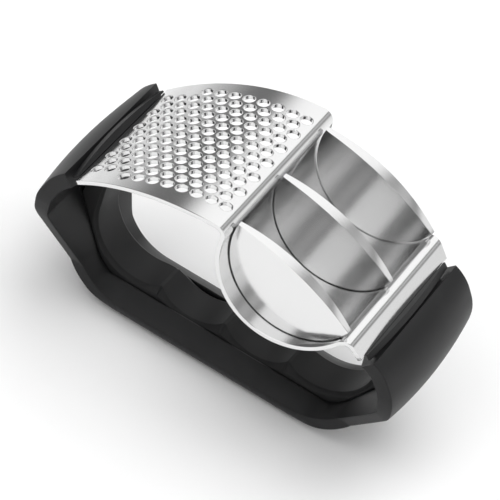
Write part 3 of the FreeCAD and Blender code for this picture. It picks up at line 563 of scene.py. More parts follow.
@dataclass
class PressedPlate:
    """The bent, perforated sheet with rolled lips at its holes and edges.

    Attributes:
        line: the sheet's front view.
        gauge: thickness.
        half_width: half of the sheet's greatest width.
        plan_radius: radius of the two bowed sides in plan.
        shoulders: where the sheet narrows to its tongues, left and right.
        tongue_half: half of a tongue's width.
        hole_radius: radius of a hole.
        pitch: spacing of the holes.
        first_row: arc from the crest to the first row of holes.
        rim_margin: least distance from a hole's centre to the sheet's edge.
        hole_sides: corners round a hole.
        lip: width of the rounded lip.
        left_end_x: where the left tongue meets the bow, which ends the rows of holes.
        mesh_rows: steps of the sheet's inner points across its width.
        mesh_gap: least distance of an inner point from a hole's lip.
        corner_gap: least distance of a side's points from the shoulders.
        hole_reach: length past the last hole that is still searched for holes.
        side_slack: share of the lip by which a triangle may lie past the sheet's side.
        hole_slack: share of the lip by which a triangle may lie inside a hole.
    """

    line: SheetLine
    gauge: float = 1.2
    half_width: float = 28.7
    plan_radius: float = 174.0
    shoulders: Pair = (-43.37, 40.57)
    tongue_half: float = 18.0
    hole_radius: float = 1.625
    pitch: float = 4.07
    first_row: float = 5.4
    rim_margin: float = 4.2
    hole_sides: int = 28
    lip: float = 0.2
    left_end_x: float = -44.5
    mesh_rows: int = 18
    mesh_gap: float = 0.25
    corner_gap: float = 0.4
    hole_reach: float = 1.0
    side_slack: float = 0.9
    hole_slack: float = 0.7

    def half_at(self, x: float) -> float:
        """Half width of the sheet at a place along the press."""
        return math.sqrt(self.plan_radius ** 2 - x ** 2) - self.plan_radius + self.half_width

    def holes(self) -> list[Pair]:
        """Centres of the holes, as distance along the sheet and across it."""
        found = []
        spacing = self.pitch * math.sqrt(3) / 2
        crest = self.line.rocker_radius * math.radians(self.line.tip_angle)
        end = crest - self.line.reach_of_x(self.left_end_x, True)
        rows = int(2 * (end - self.rim_margin - self.first_row) / self.pitch)
        for half_row in range(rows + 1):
            arc = self.first_row + half_row * self.pitch / 2
            x = self.line.rocker_radius * math.sin(arc / self.line.rocker_radius)
            room = (self.half_at(x) - self.rim_margin) / spacing
            odd = half_row % 2
            most = 2 * int((room + odd) / 2) - odd
            found += [(crest - arc, step * spacing) for step in range(-most, most + 1, 2)]
        return found

    def outline(self) -> list[Pair]:
        """Edge of the flattened sheet, anticlockwise: two bowed sides and two tongues."""
        start = self.line.reach_of_x(self.shoulders[0], True)
        stop = self.line.reach_of_x(self.shoulders[1], False)
        gap = self.corner_gap
        marks = [start, *[m for m in self.line.marks() if start + gap < m < stop - gap], stop]
        front = [(m, -self.half_at(self.line.at(m)[0][0])) for m in marks]
        tongue, end = self.tongue_half, self.line.length
        right = [(stop, -tongue), (end, -tongue), (end, tongue), (stop, tongue)]
        rear = [(m, -y) for m, y in reversed(front)]
        left = [(start, tongue), (0.0, tongue), (0.0, -tongue), (start, -tongue)]
        return front + right + rear + left

    @staticmethod
    def inward(loop: list[Pair]) -> list[Pair]:
        """Direction into the sheet at each corner of an anticlockwise loop."""
        found = []
        for index, here in enumerate(loop):
            before, after = loop[index - 1], loop[(index + 1) % len(loop)]
            sides = []
            for first, second in ((before, here), (here, after)):
                size = math.dist(first, second)
                sides.append((-(second[1] - first[1]) / size, (second[0] - first[0]) / size))
            total = (sides[0][0] + sides[1][0], sides[0][1] + sides[1][1])
            scale = 2 / (total[0] ** 2 + total[1] ** 2)
            found.append((total[0] * scale, total[1] * scale))
        return found

    def edges(self) -> list[tuple[list[Pair], list[Pair]]]:
        """Every edge loop of the sheet, outer edge first, with its directions into the sheet."""
        outer = self.outline()
        found = [(outer, self.inward(outer))]
        turn = 2 * math.pi / self.hole_sides
        around = [(math.cos(turn * i), math.sin(turn * i)) for i in range(self.hole_sides)]
        for s, y in self.holes():
            found.append(([(s + self.hole_radius * a, y + self.hole_radius * b) for a, b in around],
                          around))
        return found

    def inner_points(self) -> list[Pair]:
        """Points spread over the sheet that stay clear of its holes and edges."""
        holes = self.holes()
        last_hole = max(s for s, _ in holes) + self.hole_radius
        clear = self.hole_radius + 2 * self.lip + self.mesh_gap
        found = []
        for mark in self.line.marks()[1:-1]:
            x = self.line.at(mark)[0][0]
            inside = self.shoulders[0] < x < self.shoulders[1]
            half = (self.half_at(x) if inside else self.tongue_half) - 3 * self.lip
            for step in range(self.mesh_rows + 1):
                y = lerp(-half, half, step / self.mesh_rows)
                near = mark < last_hole + self.hole_reach and any(
                    math.hypot(mark - s, y - b) < clear for s, b in holes)
                if not near:
                    found.append((mark, y))
        return found

    def place(self, s: float, y: float, depth: float, tilt: float,
              way: Pair) -> tuple[Point, Vector]:
        """Point of the sheet and the way that its surface faces.

        Args:
            s: distance along the sheet.
            y: distance across it.
            depth: distance below the upper face.
            tilt: angle from the upper face's own direction towards the edge, in radians.
            way: direction into the sheet from the edge, along and across it.

        Returns:
            The point and the unit direction.
        """
        (x, z), (nx, nz) = self.line.at(min(max(s, 0.0), self.line.length))
        size = math.hypot(*way) or 1.0
        out = Vector((-way[0] / size * nz, -way[1] / size, way[0] / size * nx))
        facing = Vector((nx, 0.0, nz)) * math.cos(tilt) + out * math.sin(tilt)
        return (x - nx * depth, y, z - nz * depth), facing

    def build(self, material: bpy.types.Material) -> bpy.types.Object:
        """Make the sheet.

        Args:
            material: its steel.

        Returns:
            The finished piece.
        """
        lip, gauge = self.lip, self.gauge
        halfway = lip * ROUND_CUT
        rings = [(lip, 0.0, 0.0), (halfway, halfway, QUARTER / 2), (0.0, lip, QUARTER),
                 (0.0, gauge - lip, QUARTER), (halfway, gauge - halfway, 1.5 * QUARTER),
                 (lip, gauge, 2 * QUARTER)]
        points: list[Point] = []
        facing: list[Vector] = []
        faces: list[tuple[int, ...]] = []
        flat: list[Pair] = []
        limits: list[tuple[int, int]] = []
        upper: list[int] = []
        lower: list[int] = []
        for loop, ways in self.edges():
            count, start = len(loop), len(points)
            for inset, depth, tilt in rings:
                for (s, y), way in zip(loop, ways):
                    point, face_way = self.place(s + way[0] * inset, y + way[1] * inset, depth,
                                                 tilt, way)
                    points.append(point)
                    facing.append(face_way)
            for ring in range(len(rings) - 1):
                for step in range(count):
                    a, b = start + ring * count + step, start + ring * count + (step + 1) % count
                    faces.append((a, b, b + count, a + count))
            first = len(flat)
            flat += [(s + w[0] * lip, y + w[1] * lip) for (s, y), w in zip(loop, ways)]
            limits += [(first + i, first + (i + 1) % count) for i in range(count)]
            upper += range(start, start + count)
            lower += range(start + (len(rings) - 1) * count, start + len(rings) * count)
        for s, y in self.inner_points():
            flat.append((s, y))
            for depth, tilt, index in ((0.0, 0.0, upper), (gauge, 2 * QUARTER, lower)):
                point, face_way = self.place(s, y, depth, tilt, (0.0, 1.0))
                index.append(len(points))
                points.append(point)
                facing.append(face_way)
        for triangle in self.triangles(flat, limits):
            faces.append(tuple(upper[i] for i in triangle))
            faces.append(tuple(lower[i] for i in reversed(triangle)))
        piece = make_object("sheet_rocker_and_trough", points, faces)
        face_outward(piece)
        smooth(piece, NO_CREASE)
        if len(piece.data.vertices) == len(facing):
            piece.data.normals_split_custom_set_from_vertices(facing)
        return finish_piece(piece, material, Slot.STEEL, "pressed_plate")

    def triangles(self, flat: list[Pair], limits: list[tuple[int, int]]) -> list[tuple[int, ...]]:
        """Fill the flattened sheet with triangles and leave its holes open.

        Args:
            flat: all points of the flattened sheet.
            limits: pairs of points that are edges.

        Returns:
            Corners of each triangle.
        """
        spots, _, fills, origins, *_ = delaunay_2d_cdt(
            [Vector(p) for p in flat], limits, [], 0, MERGE)
        holes = self.holes()
        start = self.line.reach_of_x(self.shoulders[0], True) + self.lip
        stop = self.line.reach_of_x(self.shoulders[1], False) - self.lip
        edge = self.hole_radius + self.hole_slack * self.lip
        kept = []
        for fill in fills:
            s = sum(spots[i][0] for i in fill) / 3
            y = sum(spots[i][1] for i in fill) / 3
            if start < s < stop:
                outside = abs(y) > self.half_at(self.line.at(s)[0][0]) - self.lip * self.side_slack
            else:
                outside = abs(y) > self.tongue_half - self.lip
            in_hole = any(math.hypot(s - a, y - b) < edge for a, b in holes)
            if not outside and not in_hole:
                kept.append(tuple(origins[i][0] for i in fill))
        return kept


# ---------------------------------------------------------------- blades

@dataclass
class Blade:
    """An upright blade that fills the trough, with a ground edge along its top.

    Attributes:
        node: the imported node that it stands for.
        trough_centre: axis of the trough.
        seat_radius: radius of the seated lower edge, a hair less than the trough's.
        edge_centre: centre of the cutting edge's circle.
        edge_radius: radius of the cutting edge.
        grind: height of the ground strip at its middle.
        lip: rounding of the front corners.
        back_lip: rounding of the rear corners.
        bulge: power that gives the ground strip its lens shape.
        steps: points along each edge.
        crease: least angle in degrees that stays crisp.
    """

    node: str
    trough_centre: Pair = (18.1, 56.8)
    seat_radius: float = 18.72
    edge_centre: Pair = (2.6, 12.8)
    edge_radius: float = 48.3
    grind: float = 1.7
    lip: float = 0.1
    back_lip: float = 0.04
    bulge: float = 0.8
    steps: int = 56
    crease: float = 25.0

    def outline(self, drop: float, inset: float) -> list[Pair]:
        """Side outline of one face, anticlockwise from the right end over the top.

        Args:
            drop: how far the top sinks at its middle.
            inset: how far the outline is drawn in.

        Returns:
            The outline's points.
        """
        seat, edge = self.seat_radius - inset, self.edge_radius - inset
        right = crossing(self.trough_centre, seat, self.edge_centre, edge, True)
        left = crossing(self.trough_centre, seat, self.edge_centre, edge, False)
        first = math.atan2(right[1] - self.edge_centre[1], right[0] - self.edge_centre[0])
        last = math.atan2(left[1] - self.edge_centre[1], left[0] - self.edge_centre[0])
        found = []
        for step in range(self.steps):
            part = step / self.steps
            x, z = on_circle(self.edge_centre, edge, lerp(first, last, part))
            found.append((x, z - drop * math.sin(math.pi * part) ** self.bulge))
        first = math.atan2(left[1] - self.trough_centre[1], left[0] - self.trough_centre[0])
        last = math.atan2(right[1] - self.trough_centre[1], right[0] - self.trough_centre[0])
        first, last = first % (2 * math.pi), last % (2 * math.pi)
        if last < first:
            last += 2 * math.pi
        found += [on_circle(self.trough_centre, seat, lerp(first, last, k / self.steps))
                  for k in range(self.steps)]
        return found

    def build(self, material: bpy.types.Material) -> bpy.types.Object:
        """Make the blade.

        Args:
            material: its steel.

        Returns:
            The finished piece.
        """
        low, high = (corner.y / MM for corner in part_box(self.node))
        rings = [(low, self.grind, self.lip), (low + self.lip, self.grind, 0.0),
                 (high - self.back_lip, 0.0, 0.0), (high, 0.0, self.back_lip)]
        sections = [[(x, y, z) for x, z in self.outline(drop, inset)] for y, drop, inset in rings]
        piece = loft(self.node + "_ground", sections)
        smooth(piece, self.crease)
        return finish_piece(piece, material, Slot.BLADE, self.node)


# ---------------------------------------------------------------- handle

@dataclass
class BowLine:
    """Outer and inner lines of the bow in the front view.

    Attributes:
        half_length: from the middle to the outermost point.
        band: thickness of the wall, crown included.
        corner_radius: radius of the two lower corners.
        waist_radius: radius between the slant and the upright.
        waist_z: height of the waist's centre.
        base_half: half length of the level base.
        slant_angle: rise of the slanted walls, in degrees.
        shoulder_radius: radius of the two shoulders.
        shoulder_z: height of each shoulder's centre.
        end_outer: angle from upright at which each shoulder's outer line ends at its crease.
        end_inner: the same for the inner line.
        end_rise: how far each shoulder's outer line swells by its crease.
        shoulder_steps: steps of points round a shoulder.
        waist_steps: the same round a waist.
        corner_steps: the same round a lower corner.
        base_steps: the same along half of the base.
        spacing: greatest distance between sections of the bow.
    """

    half_length: float
    band: float = 5.6
    corner_radius: float = 21.4
    waist_radius: float = 9.4
    waist_z: float = 30.2
    base_half: float = 24.81
    slant_angle: float = 59.0
    shoulder_radius: float = 12.4
    shoulder_z: dict[Side, float] = field(
        default_factory=lambda: {Side.LEFT: 32.7, Side.RIGHT: 31.0})
    end_outer: dict[Side, float] = field(
        default_factory=lambda: {Side.LEFT: 23.5, Side.RIGHT: 11.5})
    end_inner: dict[Side, float] = field(
        default_factory=lambda: {Side.LEFT: 6.8, Side.RIGHT: -32.0})
    end_rise: dict[Side, float] = field(
        default_factory=lambda: {Side.LEFT: 1.3, Side.RIGHT: 0.2})
    shoulder_steps: int = 16
    waist_steps: int = 8
    corner_steps: int = 22
    base_steps: int = 8
    spacing: float = 2.0

    def half(self, side: Side) -> list[tuple[Pair, Pair]]:
        """Outer and inner points of one half, from the sheet down to the middle of the base.

        Args:
            side: which end of the press.

        Returns:
            Pairs of an outer and an inner point.
        """
        slant = math.radians(self.slant_angle)
        centre = (self.half_length - self.shoulder_radius, self.shoulder_z[side])
        waist = (self.half_length - self.waist_radius, self.waist_z)
        corner = (self.base_half, self.corner_radius)
        found: list[tuple[Pair, Pair]] = []
        for step in range(self.shoulder_steps + 1):
            part = step / self.shoulder_steps
            outer = math.radians(90 - lerp(self.end_outer[side], 90.0, part))
            inner = math.radians(90 - lerp(self.end_inner[side], 90.0, part))
            swell = self.shoulder_radius + self.end_rise[side] * (1 - part) ** 2
            found.append((on_circle(centre, swell, outer),
                          on_circle(centre, self.shoulder_radius - self.band, inner)))
        for spot, radius, first, last, count in (
                (waist, self.waist_radius, 0.0, slant - QUARTER, self.waist_steps),
                (corner, self.corner_radius, slant - QUARTER, -QUARTER, self.corner_steps)):
            for step in range(count + 1):
                angle = lerp(first, last, step / count)
                found.append((on_circle(spot, radius, angle),
                              on_circle(spot, radius - self.band, angle)))
        low = found[-1][0][0]
        for step in range(1, self.base_steps + 1):
            x = low * (1 - step / self.base_steps)
            found.append(((x, 0.0), (x, self.band)))
        filled: list[tuple[Pair, Pair]] = [found[0]]
        for here in found[1:]:
            before = filled[-1]
            count = max(1, round(math.dist(before[0], here[0]) / self.spacing))
            for step in range(1, count + 1):
                part = step / count
                filled.append(tuple((lerp(a[0], b[0], part), lerp(a[1], b[1], part))
                                    for a, b in zip(before, here)))
        return [((side.value * o[0], o[1]), (side.value * i[0], i[1])) for o, i in filled]

    def whole(self) -> list[tuple[Pair, Pair]]:
        """All pairs from the left end of the sheet to the right."""
        left, right = self.half(Side.LEFT), self.half(Side.RIGHT)
        return left + right[-2::-1]


@dataclass
class HandleBow:
    """The moulded bow: crowned outside, flat rims, rounded palm and a channel for the grip.

    Attributes:
        line: outer and inner lines.
        half_width: half width at the sheet.
        crown: how far the middle of the outer face stands proud of its rims.
        palm_top: height of the palm block's upper face beside the grip.
        palm_half: half width of the palm.
        palm_edge: radius of the palm's lower edges.
        flare_foot: height and half width where the flare starts.
        flare_top: height at which the flare reaches full width.
        flare_round: height over which the flare's upper end is rounded, to each side of it.
        rim: thickness of the wall at its rims, at the shoulders and at the slanted walls.
        rim_change: height over which the rim goes from the one to the other.
        palm_rim: height of the palm block's upper face at its rims.
        flat_end: length over which the crown grows from nothing at each end.
        channel_half: half width of the grip's channel.
        edge: rounding of the rims.
        seam: width of the soft edge at the grip's channel.
        crown_shares: places of points across the outer face, as shares of the half width.
        rim_parts: places of points across a rim.
        lid_parts: places of points from a rim's inner edge to the channel.
        lid_curve: power that gives the face from the rim to the channel its slight swell.
        round_outer: share of the rim's rounding at the middle of its outer corner.
        round_inner: the same at its inner corner.
        seam_round: rounding of the channel's corner.
        crown_edge: share of the crown that is left where the rim's rounding starts.
        channel_tuck: how far the channel's floor is drawn in from its walls.
        channel_core: share of the channel's half width at the innermost points.
        rising: least rise of a section's direction for it to be part of the palm.
        crease: least angle in degrees that stays crisp.
    """

    line: BowLine
    half_width: float = 23.1
    crown: float = 1.4
    palm_top: float = 7.9
    palm_half: float = 12.4
    palm_edge: float = 4.9
    flare_foot: Pair = (11.0, 12.8)
    flare_top: float = 31.0
    flare_round: float = 5.0
    rim: Pair = (4.2, 3.3)
    rim_change: float = 8.0
    palm_rim: float = 3.6
    flat_end: float = 9.0
    channel_half: float = 6.45
    edge: float = 0.3
    seam: float = 0.3
    crown_shares: tuple[float, ...] = (0.12, 0.3, 0.48, 0.64, 0.78, 0.9)
    rim_parts: tuple[float, ...] = (0.08, 0.18, 0.3, 0.45, 0.62, 0.8)
    lid_parts: tuple[float, ...] = (0.3, 0.6, 0.85)
    lid_curve: float = 0.8
    round_outer: float = 0.25
    round_inner: float = 0.28
    seam_round: float = 0.08
    crown_edge: float = 0.97
    channel_tuck: float = 0.02
    channel_core: float = 0.4
    rising: float = 0.5
    crease: float = 38.0

    def half_at(self, z: float) -> float:
        """Half width of the bow at a height: rounded palm, flare, then straight."""
        if z >= self.flare_foot[0]:
            slope = (self.half_width - self.flare_foot[1]) / (self.flare_top - self.flare_foot[0])
            under = self.flare_top - z
            if abs(under) < self.flare_round:
                under = (under + self.flare_round) ** 2 / (4 * self.flare_round)
            return self.half_width - slope * max(under, 0.0)
        if z >= self.palm_edge:
            part = (z - self.palm_edge) / (self.flare_foot[0] - self.palm_edge)
            return lerp(self.palm_half, self.flare_foot[1], part)
        low = max(z, 0.0)
        return (self.palm_half - self.palm_edge
                + math.sqrt(self.palm_edge ** 2 - (self.palm_edge - low) ** 2))

    def section(self, outer: Pair, inner: Pair, reach: float) -> list[Point]:
        """Closed ring of points round the bow at one pair of outer and inner points.

        Args:
            outer: point of the outer line.
            inner: point of the inner line.
            reach: distance along the bow from its nearer end.

        Returns:
            The ring's points.
        """
        depth = math.dist(outer, inner)
        way = ((inner[0] - outer[0]) / depth, (inner[1] - outer[1]) / depth)
        crown = self.crown * min(1.0, reach / self.flat_end)
        lid = depth
        fall = min(1.0, max(0.0, (self.flare_top - outer[1]) / self.rim_change))
        rim = min(depth, crown + lerp(self.rim[0], self.rim[1], fall))
        if way[1] > self.rising:
            lid = max(depth, (self.palm_top - outer[1]) / way[1])
            rim = max(rim, (self.palm_rim - outer[1]) / way[1])
        half: list[Point] = []

        def put(deep: float, inset: float = 0.0, share: float = 1.0, fixed: float = 0.0) -> None:
            """Add a point by its depth and its place across the bow."""
            x, z = outer[0] + way[0] * deep, outer[1] + way[1] * deep
            half.append((x, fixed or (self.half_at(z) - inset) * share, z))

        edge, channel = self.edge, self.channel_half
        for share in self.crown_shares:
            put(crown * share ** 2, share=share)
        put(crown * self.crown_edge, inset=edge)
        put(crown + self.round_outer * edge, inset=self.round_outer * edge)
        put(crown + edge)
        for part in self.rim_parts:
            put(lerp(crown + edge, rim - edge, part))
        put(rim - edge)
        put(rim - self.round_inner * edge, inset=self.round_inner * edge)
        put(rim, inset=edge)
        side = self.half_at(outer[1] + way[1] * rim) - edge
        for part in self.lid_parts:
            put(lerp(rim, lid, part ** self.lid_curve), fixed=lerp(side, channel + edge, part))
        put(lid, fixed=channel + self.seam)
        put(lid - self.seam_round, fixed=channel + self.seam_round)
        put(lid - self.seam, fixed=channel)
        put(depth, fixed=channel - self.channel_tuck)
        put(depth, fixed=channel * self.channel_core)
        return half + [(x, -y, z) for x, y, z in reversed(half)]

    def build(self, material: bpy.types.Material) -> bpy.types.Object:
        """Make the bow.

        Args:
            material: its plastic.

        Returns:
            The finished piece.
        """
        pairs = self.line.whole()
        marks = [0.0]
        for before, here in zip(pairs, pairs[1:]):
            marks.append(marks[-1] + math.dist(before[0], here[0]))
        piece = loft("handle_bow_moulding", [
            self.section(outer, inner, min(mark, marks[-1] - mark))
            for (outer, inner), mark in zip(pairs, marks)])
        smooth(piece, self.crease)
        weigh_normals(piece)
        return finish_piece(piece, material, Slot.HANDLE, "handle_bow")


@dataclass
class FingerGrip:
    """The scalloped grip that lines the inside of the bow.

    Attributes:
        line: the bow's lines, which the grip's back follows.
        fit: gap between the grip and the bow.
        half_width: half width of the grip.
        ridge_z: height of the ridges.
        ridge_pitch: spacing of the ridges.
        ridge_flat: half length of a ridge's level top.
        groove_depth: depth of the two middle grooves.
        end_depth: depth of the two end grooves.
        face_x: distance from the middle to the grip's upright faces.
        top_z: height of its two ends.
        chamfer: width of the chamfer at the grooves.
        ridge_chamfer: extra chamfer at the ridges.
        ridge_reach: distance from a ridge over which its chamfer fades.
        floor_top: height under which the ridges lie.
        fade: power by which a ridge's chamfer fades.
        core: share of the half width at the innermost points.
        cut_share: largest share of the grip's depth that a chamfer takes.
        soft_top: how far the chamfer's upper corner is softened, across the finger side.
        soft_dip: how far that corner's middle is cut in.
        soft_side: how far the chamfer's lower corner is softened, down the side.
        soft_pull: how far that corner's middle is cut in, up and across.
        back_edge: chamfer at the back.
        face_steps: steps of points up each upright face.
        end_steps: the same along an end groove.
        groove_steps: the same along a middle groove.
        back_steps: steps between two points of the bow's inner line.
        crease: least angle in degrees that stays crisp.
    """

    line: BowLine
    fit: float = 0.15
    half_width: float = 6.3
    ridge_z: float = 10.8
    ridge_pitch: float = 19.2
    ridge_flat: float = 0.5
    groove_depth: float = 3.3
    end_depth: float = 1.39
    face_x: float = 41.0
    top_z: float = 36.0
    chamfer: float = 1.0
    ridge_chamfer: float = 1.1
    ridge_reach: float = 3.6
    floor_top: float = 20.0
    fade: float = 1.5
    core: float = 0.3
    cut_share: float = 0.6
    soft_top: float = 0.35
    soft_dip: float = 0.05
    soft_side: float = 0.25
    soft_pull: Pair = (0.1, 0.08)
    back_edge: float = 0.1
    face_steps: int = 8
    end_steps: int = 26
    groove_steps: int = 20
    back_steps: int = 6
    crease: float = 30.0

    def finger_line(self) -> list[Pair]:
        """Finger side of the right half, from its upper end to the middle."""
        run = self.face_x - self.ridge_pitch - self.ridge_flat
        radius = run + self.end_depth - math.sqrt(2 * run * self.end_depth)
        centre = (self.face_x - radius, self.ridge_z - self.end_depth + radius)
        found = [(self.face_x, lerp(self.top_z, centre[1], k / self.face_steps))
                 for k in range(self.face_steps)]
        first = math.atan2(self.ridge_z - centre[1],
                           self.ridge_pitch + self.ridge_flat - centre[0])
        found += [on_circle(centre, radius, lerp(0.0, first, k / self.end_steps))
                  for k in range(self.end_steps + 1)]
        found += [(self.ridge_pitch + self.ridge_flat * k, self.ridge_z) for k in (0.5, 0, -0.5)]
        half = self.ridge_pitch / 2 - self.ridge_flat
        groove = (half ** 2 + self.groove_depth ** 2) / (2 * self.groove_depth)
        centre = (self.ridge_pitch / 2, self.ridge_z - self.groove_depth + groove)
        turn = math.asin(half / groove)
        found += [on_circle(centre, groove, -QUARTER + lerp(turn, -turn, k / self.groove_steps))
                  for k in range(self.groove_steps + 1)]
        found += [(self.ridge_flat * 0.5, self.ridge_z), (0.0, self.ridge_z)]
        return found

    def back_line(self) -> list[Pair]:
        """The bow's inner line on the right, set off by the fit, with close points."""
        found: list[Pair] = []
        pairs = [p for p in self.line.half(Side.RIGHT) if p[1][0] > 0 or p[0][0] <= TINY]
        for (ox, oz), (ix, iz) in pairs:
            size = math.dist((ox, oz), (ix, iz))
            found.append((ix + (ix - ox) / size * self.fit, iz + (iz - oz) / size * self.fit))
        return [p for p in found if p[1] <= self.top_z]

    def rungs(self) -> list[tuple[Pair, Pair, float]]:
        """Finger-side point, back point and chamfer at each station of the right half."""
        back = self.back_line()
        spots: list[Pair] = []
        for first, second in zip(back, back[1:]):
            for step in range(self.back_steps):
                part = step / self.back_steps
                spots.append((lerp(first[0], second[0], part), lerp(first[1], second[1], part)))
        spots.append(back[-1])
        found = []
        latest = 0
        halfway = self.ridge_pitch / 2
        for point in self.finger_line():
            choice = min(range(latest, len(spots)), key=lambda i: math.dist(point, spots[i]))
            latest = max(latest, choice)
            off = abs(point[0] - self.ridge_pitch) if point[0] > halfway else abs(point[0])
            near = max(0.0, 1.0 - off / self.ridge_reach) if point[1] < self.floor_top else 0.0
            chamfer = self.chamfer + self.ridge_chamfer * near ** self.fade
            found.append((point, spots[latest], chamfer))
        found[-1] = (found[-1][0], (0.0, spots[-1][1]), found[-1][2])
        return found

    def section(self, front: Pair, back: Pair, chamfer: float) -> list[Point]:
        """Closed ring round the grip at one station.

        Args:
            front: point of the finger side.
            back: point of the back.
            chamfer: width of the chamfer there.

        Returns:
            The ring's points.
        """
        depth = math.dist(front, back)
        way = ((back[0] - front[0]) / depth, (back[1] - front[1]) / depth)
        cut = min(chamfer, self.cut_share * depth)
        half: list[Point] = []
        wide, top = self.half_width, self.half_width - chamfer
        up, across = self.soft_pull
        spots = (
            (0.0, self.core * wide), (0.0, top - self.soft_top),
            (self.soft_dip, top - self.soft_dip), (cut * 0.5, wide - chamfer * 0.5),
            (cut - up, wide - across), (cut + self.soft_side, wide),
            (depth - self.back_edge, wide), (depth, wide - self.back_edge),
            (depth, self.core * wide),
        )
        for deep, y in spots:
            half.append((front[0] + way[0] * deep, y, front[1] + way[1] * deep))
        return half + [(x, -y, z) for x, y, z in reversed(half)]

    def build(self, material: bpy.types.Material) -> bpy.types.Object:
        """Make the grip.

        Args:
            material: its rubber.

        Returns:
            The finished piece.
        """
        right = [self.section(*rung) for rung in self.rungs()]
        left = [[(-x, y, z) for x, y, z in ring] for ring in reversed(right[:-1])]
        piece = loft("finger_grip_moulding", right + left)
        smooth(piece, self.crease)
        weigh_normals(piece)
        return finish_piece(piece, material, Slot.GRIP, "finger_grip")


# ---------------------------------------------------------------- carried pieces

@dataclass
class CarriedPieces:
    """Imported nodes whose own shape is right: they get a finish and softened edges.

    Attributes:
        names: the nodes.
        edge: width of the softened edges.
        crisp: least angle in degrees of an edge that is softened.
    """

    names: tuple[str, ...]
    edge: float = 0.25
    crisp: float = 35.0

    def dress(self, nodes: dict[str, bpy.types.Object], material: bpy.types.Material) -> None:
        """Give each node its finish.

        Args:
            nodes: the frame's nodes.
            material: their finish.
        """
        for name in self.names:
            node = nodes[name]
            node.data.materials.clear()
            node.data.materials.append(material)
            soften = node.modifiers.new("soft_edges", "BEVEL")
            soften.width = self.edge * MM
            soften.segments = 2
            soften.limit_method = "ANGLE"
            soften.angle_limit = math.radians(self.crisp)
            soften.use_clamp_overlap = True
            LOG.info("%s: carried over", name)


# ---------------------------------------------------------------- studio

@dataclass(frozen=True)
class Softbox:
    """A square lamp that looks at the press.

    Attributes:
        name: the lamp's name.
        spot: its place in metres.
        size: its side in metres.
        watts: its power.
        aim: the point that it looks at, in metres.
    """

    name: str
    spot: Point
    size: float
    watts: float
    aim: Point = (0.0, 0.0, 0.03)

    def hang(self) -> None:
        """Add the lamp, unseen in the steel's reflections."""
        lamp = bpy.data.lights.new(self.name, "AREA")
        lamp.size = self.size
        lamp.energy = self.watts
        holder = bpy.data.objects.new(self.name, lamp)
        holder.location = self.spot
        look = Vector(self.aim) - Vector(self.spot)
        holder.rotation_euler = look.to_track_quat("-Z", "Y").to_euler()
        holder.visible_glossy = False
        bpy.context.scene.collection.objects.link(holder)


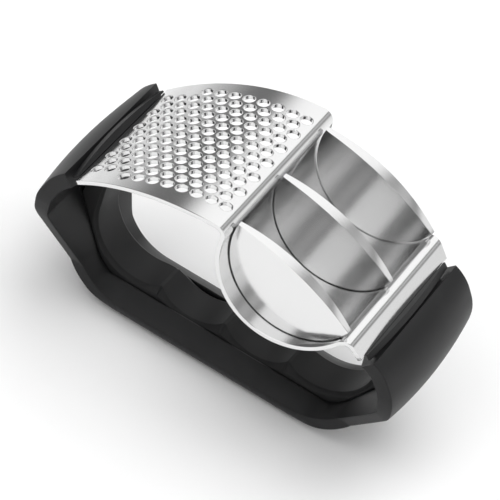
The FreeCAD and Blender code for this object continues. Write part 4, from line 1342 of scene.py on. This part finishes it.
@dataclass
class Studio:
    """Pale floor, soft light and the camera.

    Attributes:
        spot: the camera's place.
        right: the camera's own right.
        up: the camera's own up.
        back: the way behind the camera.
        lens: focal length in millimetres.
        floor_reach: half of the floor's side, in millimetres.
        floor_grey: brightness of the floor.
        panels: places and brightnesses of the room's panels, from left to right.
        horizon: heights at which the pale horizon fades into the panels.
        lamps: the two softboxes.
    """

    spot: Point = (0.17710, -0.65884, 0.65086)
    right: Point = (0.8439, 0.4705, 0.2576)
    up: Point = (-0.5000, 0.5161, 0.6955)
    back: Point = (0.1943, -0.7157, 0.6708)
    lens: float = 264.9
    floor_reach: float = 3000.0
    floor_grey: float = 0.93
    panels: tuple[Pair, ...] = (
        (0.10, 0.24), (0.25, 0.16), (0.315, 1.2), (0.61, 1.2), (0.645, 0.24), (0.66, 0.24),
        (0.69, 0.58), (0.74, 0.58), (0.775, 0.26), (0.80, 0.34), (0.84, 0.95))
    horizon: tuple[Pair, ...] = ((-0.02, 1.0), (0.18, 0.45), (0.36, 0.0))
    lamps: tuple[Softbox, ...] = (
        Softbox("key_softbox", (-0.5, -0.5, 0.9), 0.7, 2.6),
        Softbox("top_softbox", (0.1, 0.25, 1.1), 0.9, 4.4))

    def add_camera(self) -> None:
        """Create the camera and make it the scene's own."""
        camera = bpy.data.cameras.new("camera")
        camera.lens = self.lens
        camera.sensor_width = 36.0
        camera.clip_start = 0.01
        holder = bpy.data.objects.new("camera", camera)
        turn = Matrix((self.right, self.up, self.back)).transposed().to_4x4()
        holder.matrix_world = Matrix.Translation(self.spot) @ turn
        bpy.context.scene.collection.objects.link(holder)
        bpy.context.scene.camera = holder

    def add_floor(self) -> None:
        """Lay a wide pale floor under the press."""
        reach, grey = self.floor_reach, self.floor_grey
        corners = [(-reach, -reach, 0.0), (reach, -reach, 0.0), (reach, reach, 0.0),
                   (-reach, reach, 0.0)]
        floor = make_object("studio_floor", corners, [(0, 1, 2, 3)])
        material = bpy.data.materials.new("pale_floor")
        material.use_nodes = True
        bench = NodeBench(material.node_tree)
        out = bench.add("ShaderNodeOutputMaterial")
        shader = bench.add("ShaderNodeBsdfPrincipled", Roughness=0.85)
        shader.inputs["Base Color"].default_value = (grey, grey, grey, 1.0)
        shader.inputs["Specular IOR Level"].default_value = 0.1
        bench.link(shader.outputs["BSDF"], out.inputs["Surface"])
        floor.data.materials.append(material)

    def add_sky(self) -> None:
        """Light the press from a soft room: pale panels overhead, darker walls between them."""
        world = bpy.data.worlds.new("studio")
        bpy.context.scene.world = world
        world.use_nodes = True
        bench = NodeBench(world.node_tree)
        out = bench.add("ShaderNodeOutputWorld")
        glow = bench.add("ShaderNodeBackground")
        place = bench.add("ShaderNodeTexCoord")
        axes = bench.add("ShaderNodeSeparateXYZ")
        bench.link(place.outputs["Generated"], axes.inputs["Vector"])
        across = bench.math("ADD", bench.math("MULTIPLY", axes.outputs["X"], 0.5), 0.5)
        panels = bench.ramp(across, self.panels)
        horizon = bench.ramp(axes.outputs["Z"], self.horizon)
        blend = bench.add("ShaderNodeMix", data_type="RGBA")
        blend.inputs["B"].default_value = (1.0, 1.0, 1.0, 1.0)
        bench.link(horizon, blend.inputs["Factor"])
        bench.link(panels, blend.inputs["A"])
        bench.link(blend.outputs["Result"], glow.inputs["Color"])
        glow.inputs["Strength"].default_value = 1.0
        bench.link(glow.outputs["Background"], out.inputs["Surface"])

    def build(self) -> None:
        """Set up the whole studio."""
        self.add_camera()
        self.add_floor()
        self.add_sky()
        for lamp in self.lamps:
            lamp.hang()
        bpy.context.scene.view_settings.view_transform = "Standard"


# ---------------------------------------------------------------- the whole press


def main() -> None:
    """Build every piece of the press and its studio."""
    logging.basicConfig(level=logging.INFO, format="%(name)s: %(message)s")
    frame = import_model()
    top_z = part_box("pressed_plate")[1].z / MM + CREST_CUT
    half_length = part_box("handle_bow")[1].x / MM
    steel, blade_steel = SHEET_STEEL.build(), CUTTING_STEEL.build()
    plastic, rubber = HANDLE_PLASTIC.build(), GRIP_RUBBER.build()
    bow = BowLine(half_length)
    PressedPlate(SheetLine(top_z)).build(steel)
    for node in ("blade_front", "blade_middle", "blade_rear"):
        Blade(node).build(blade_steel)
    HandleBow(bow).build(plastic)
    FingerGrip(bow).build(rubber)
    CarriedPieces(("clamp_strip_left", "clamp_strip_right")).dress(frame["nodes"], plastic)
    Studio().build()


if __name__ == "__main__":
    main()
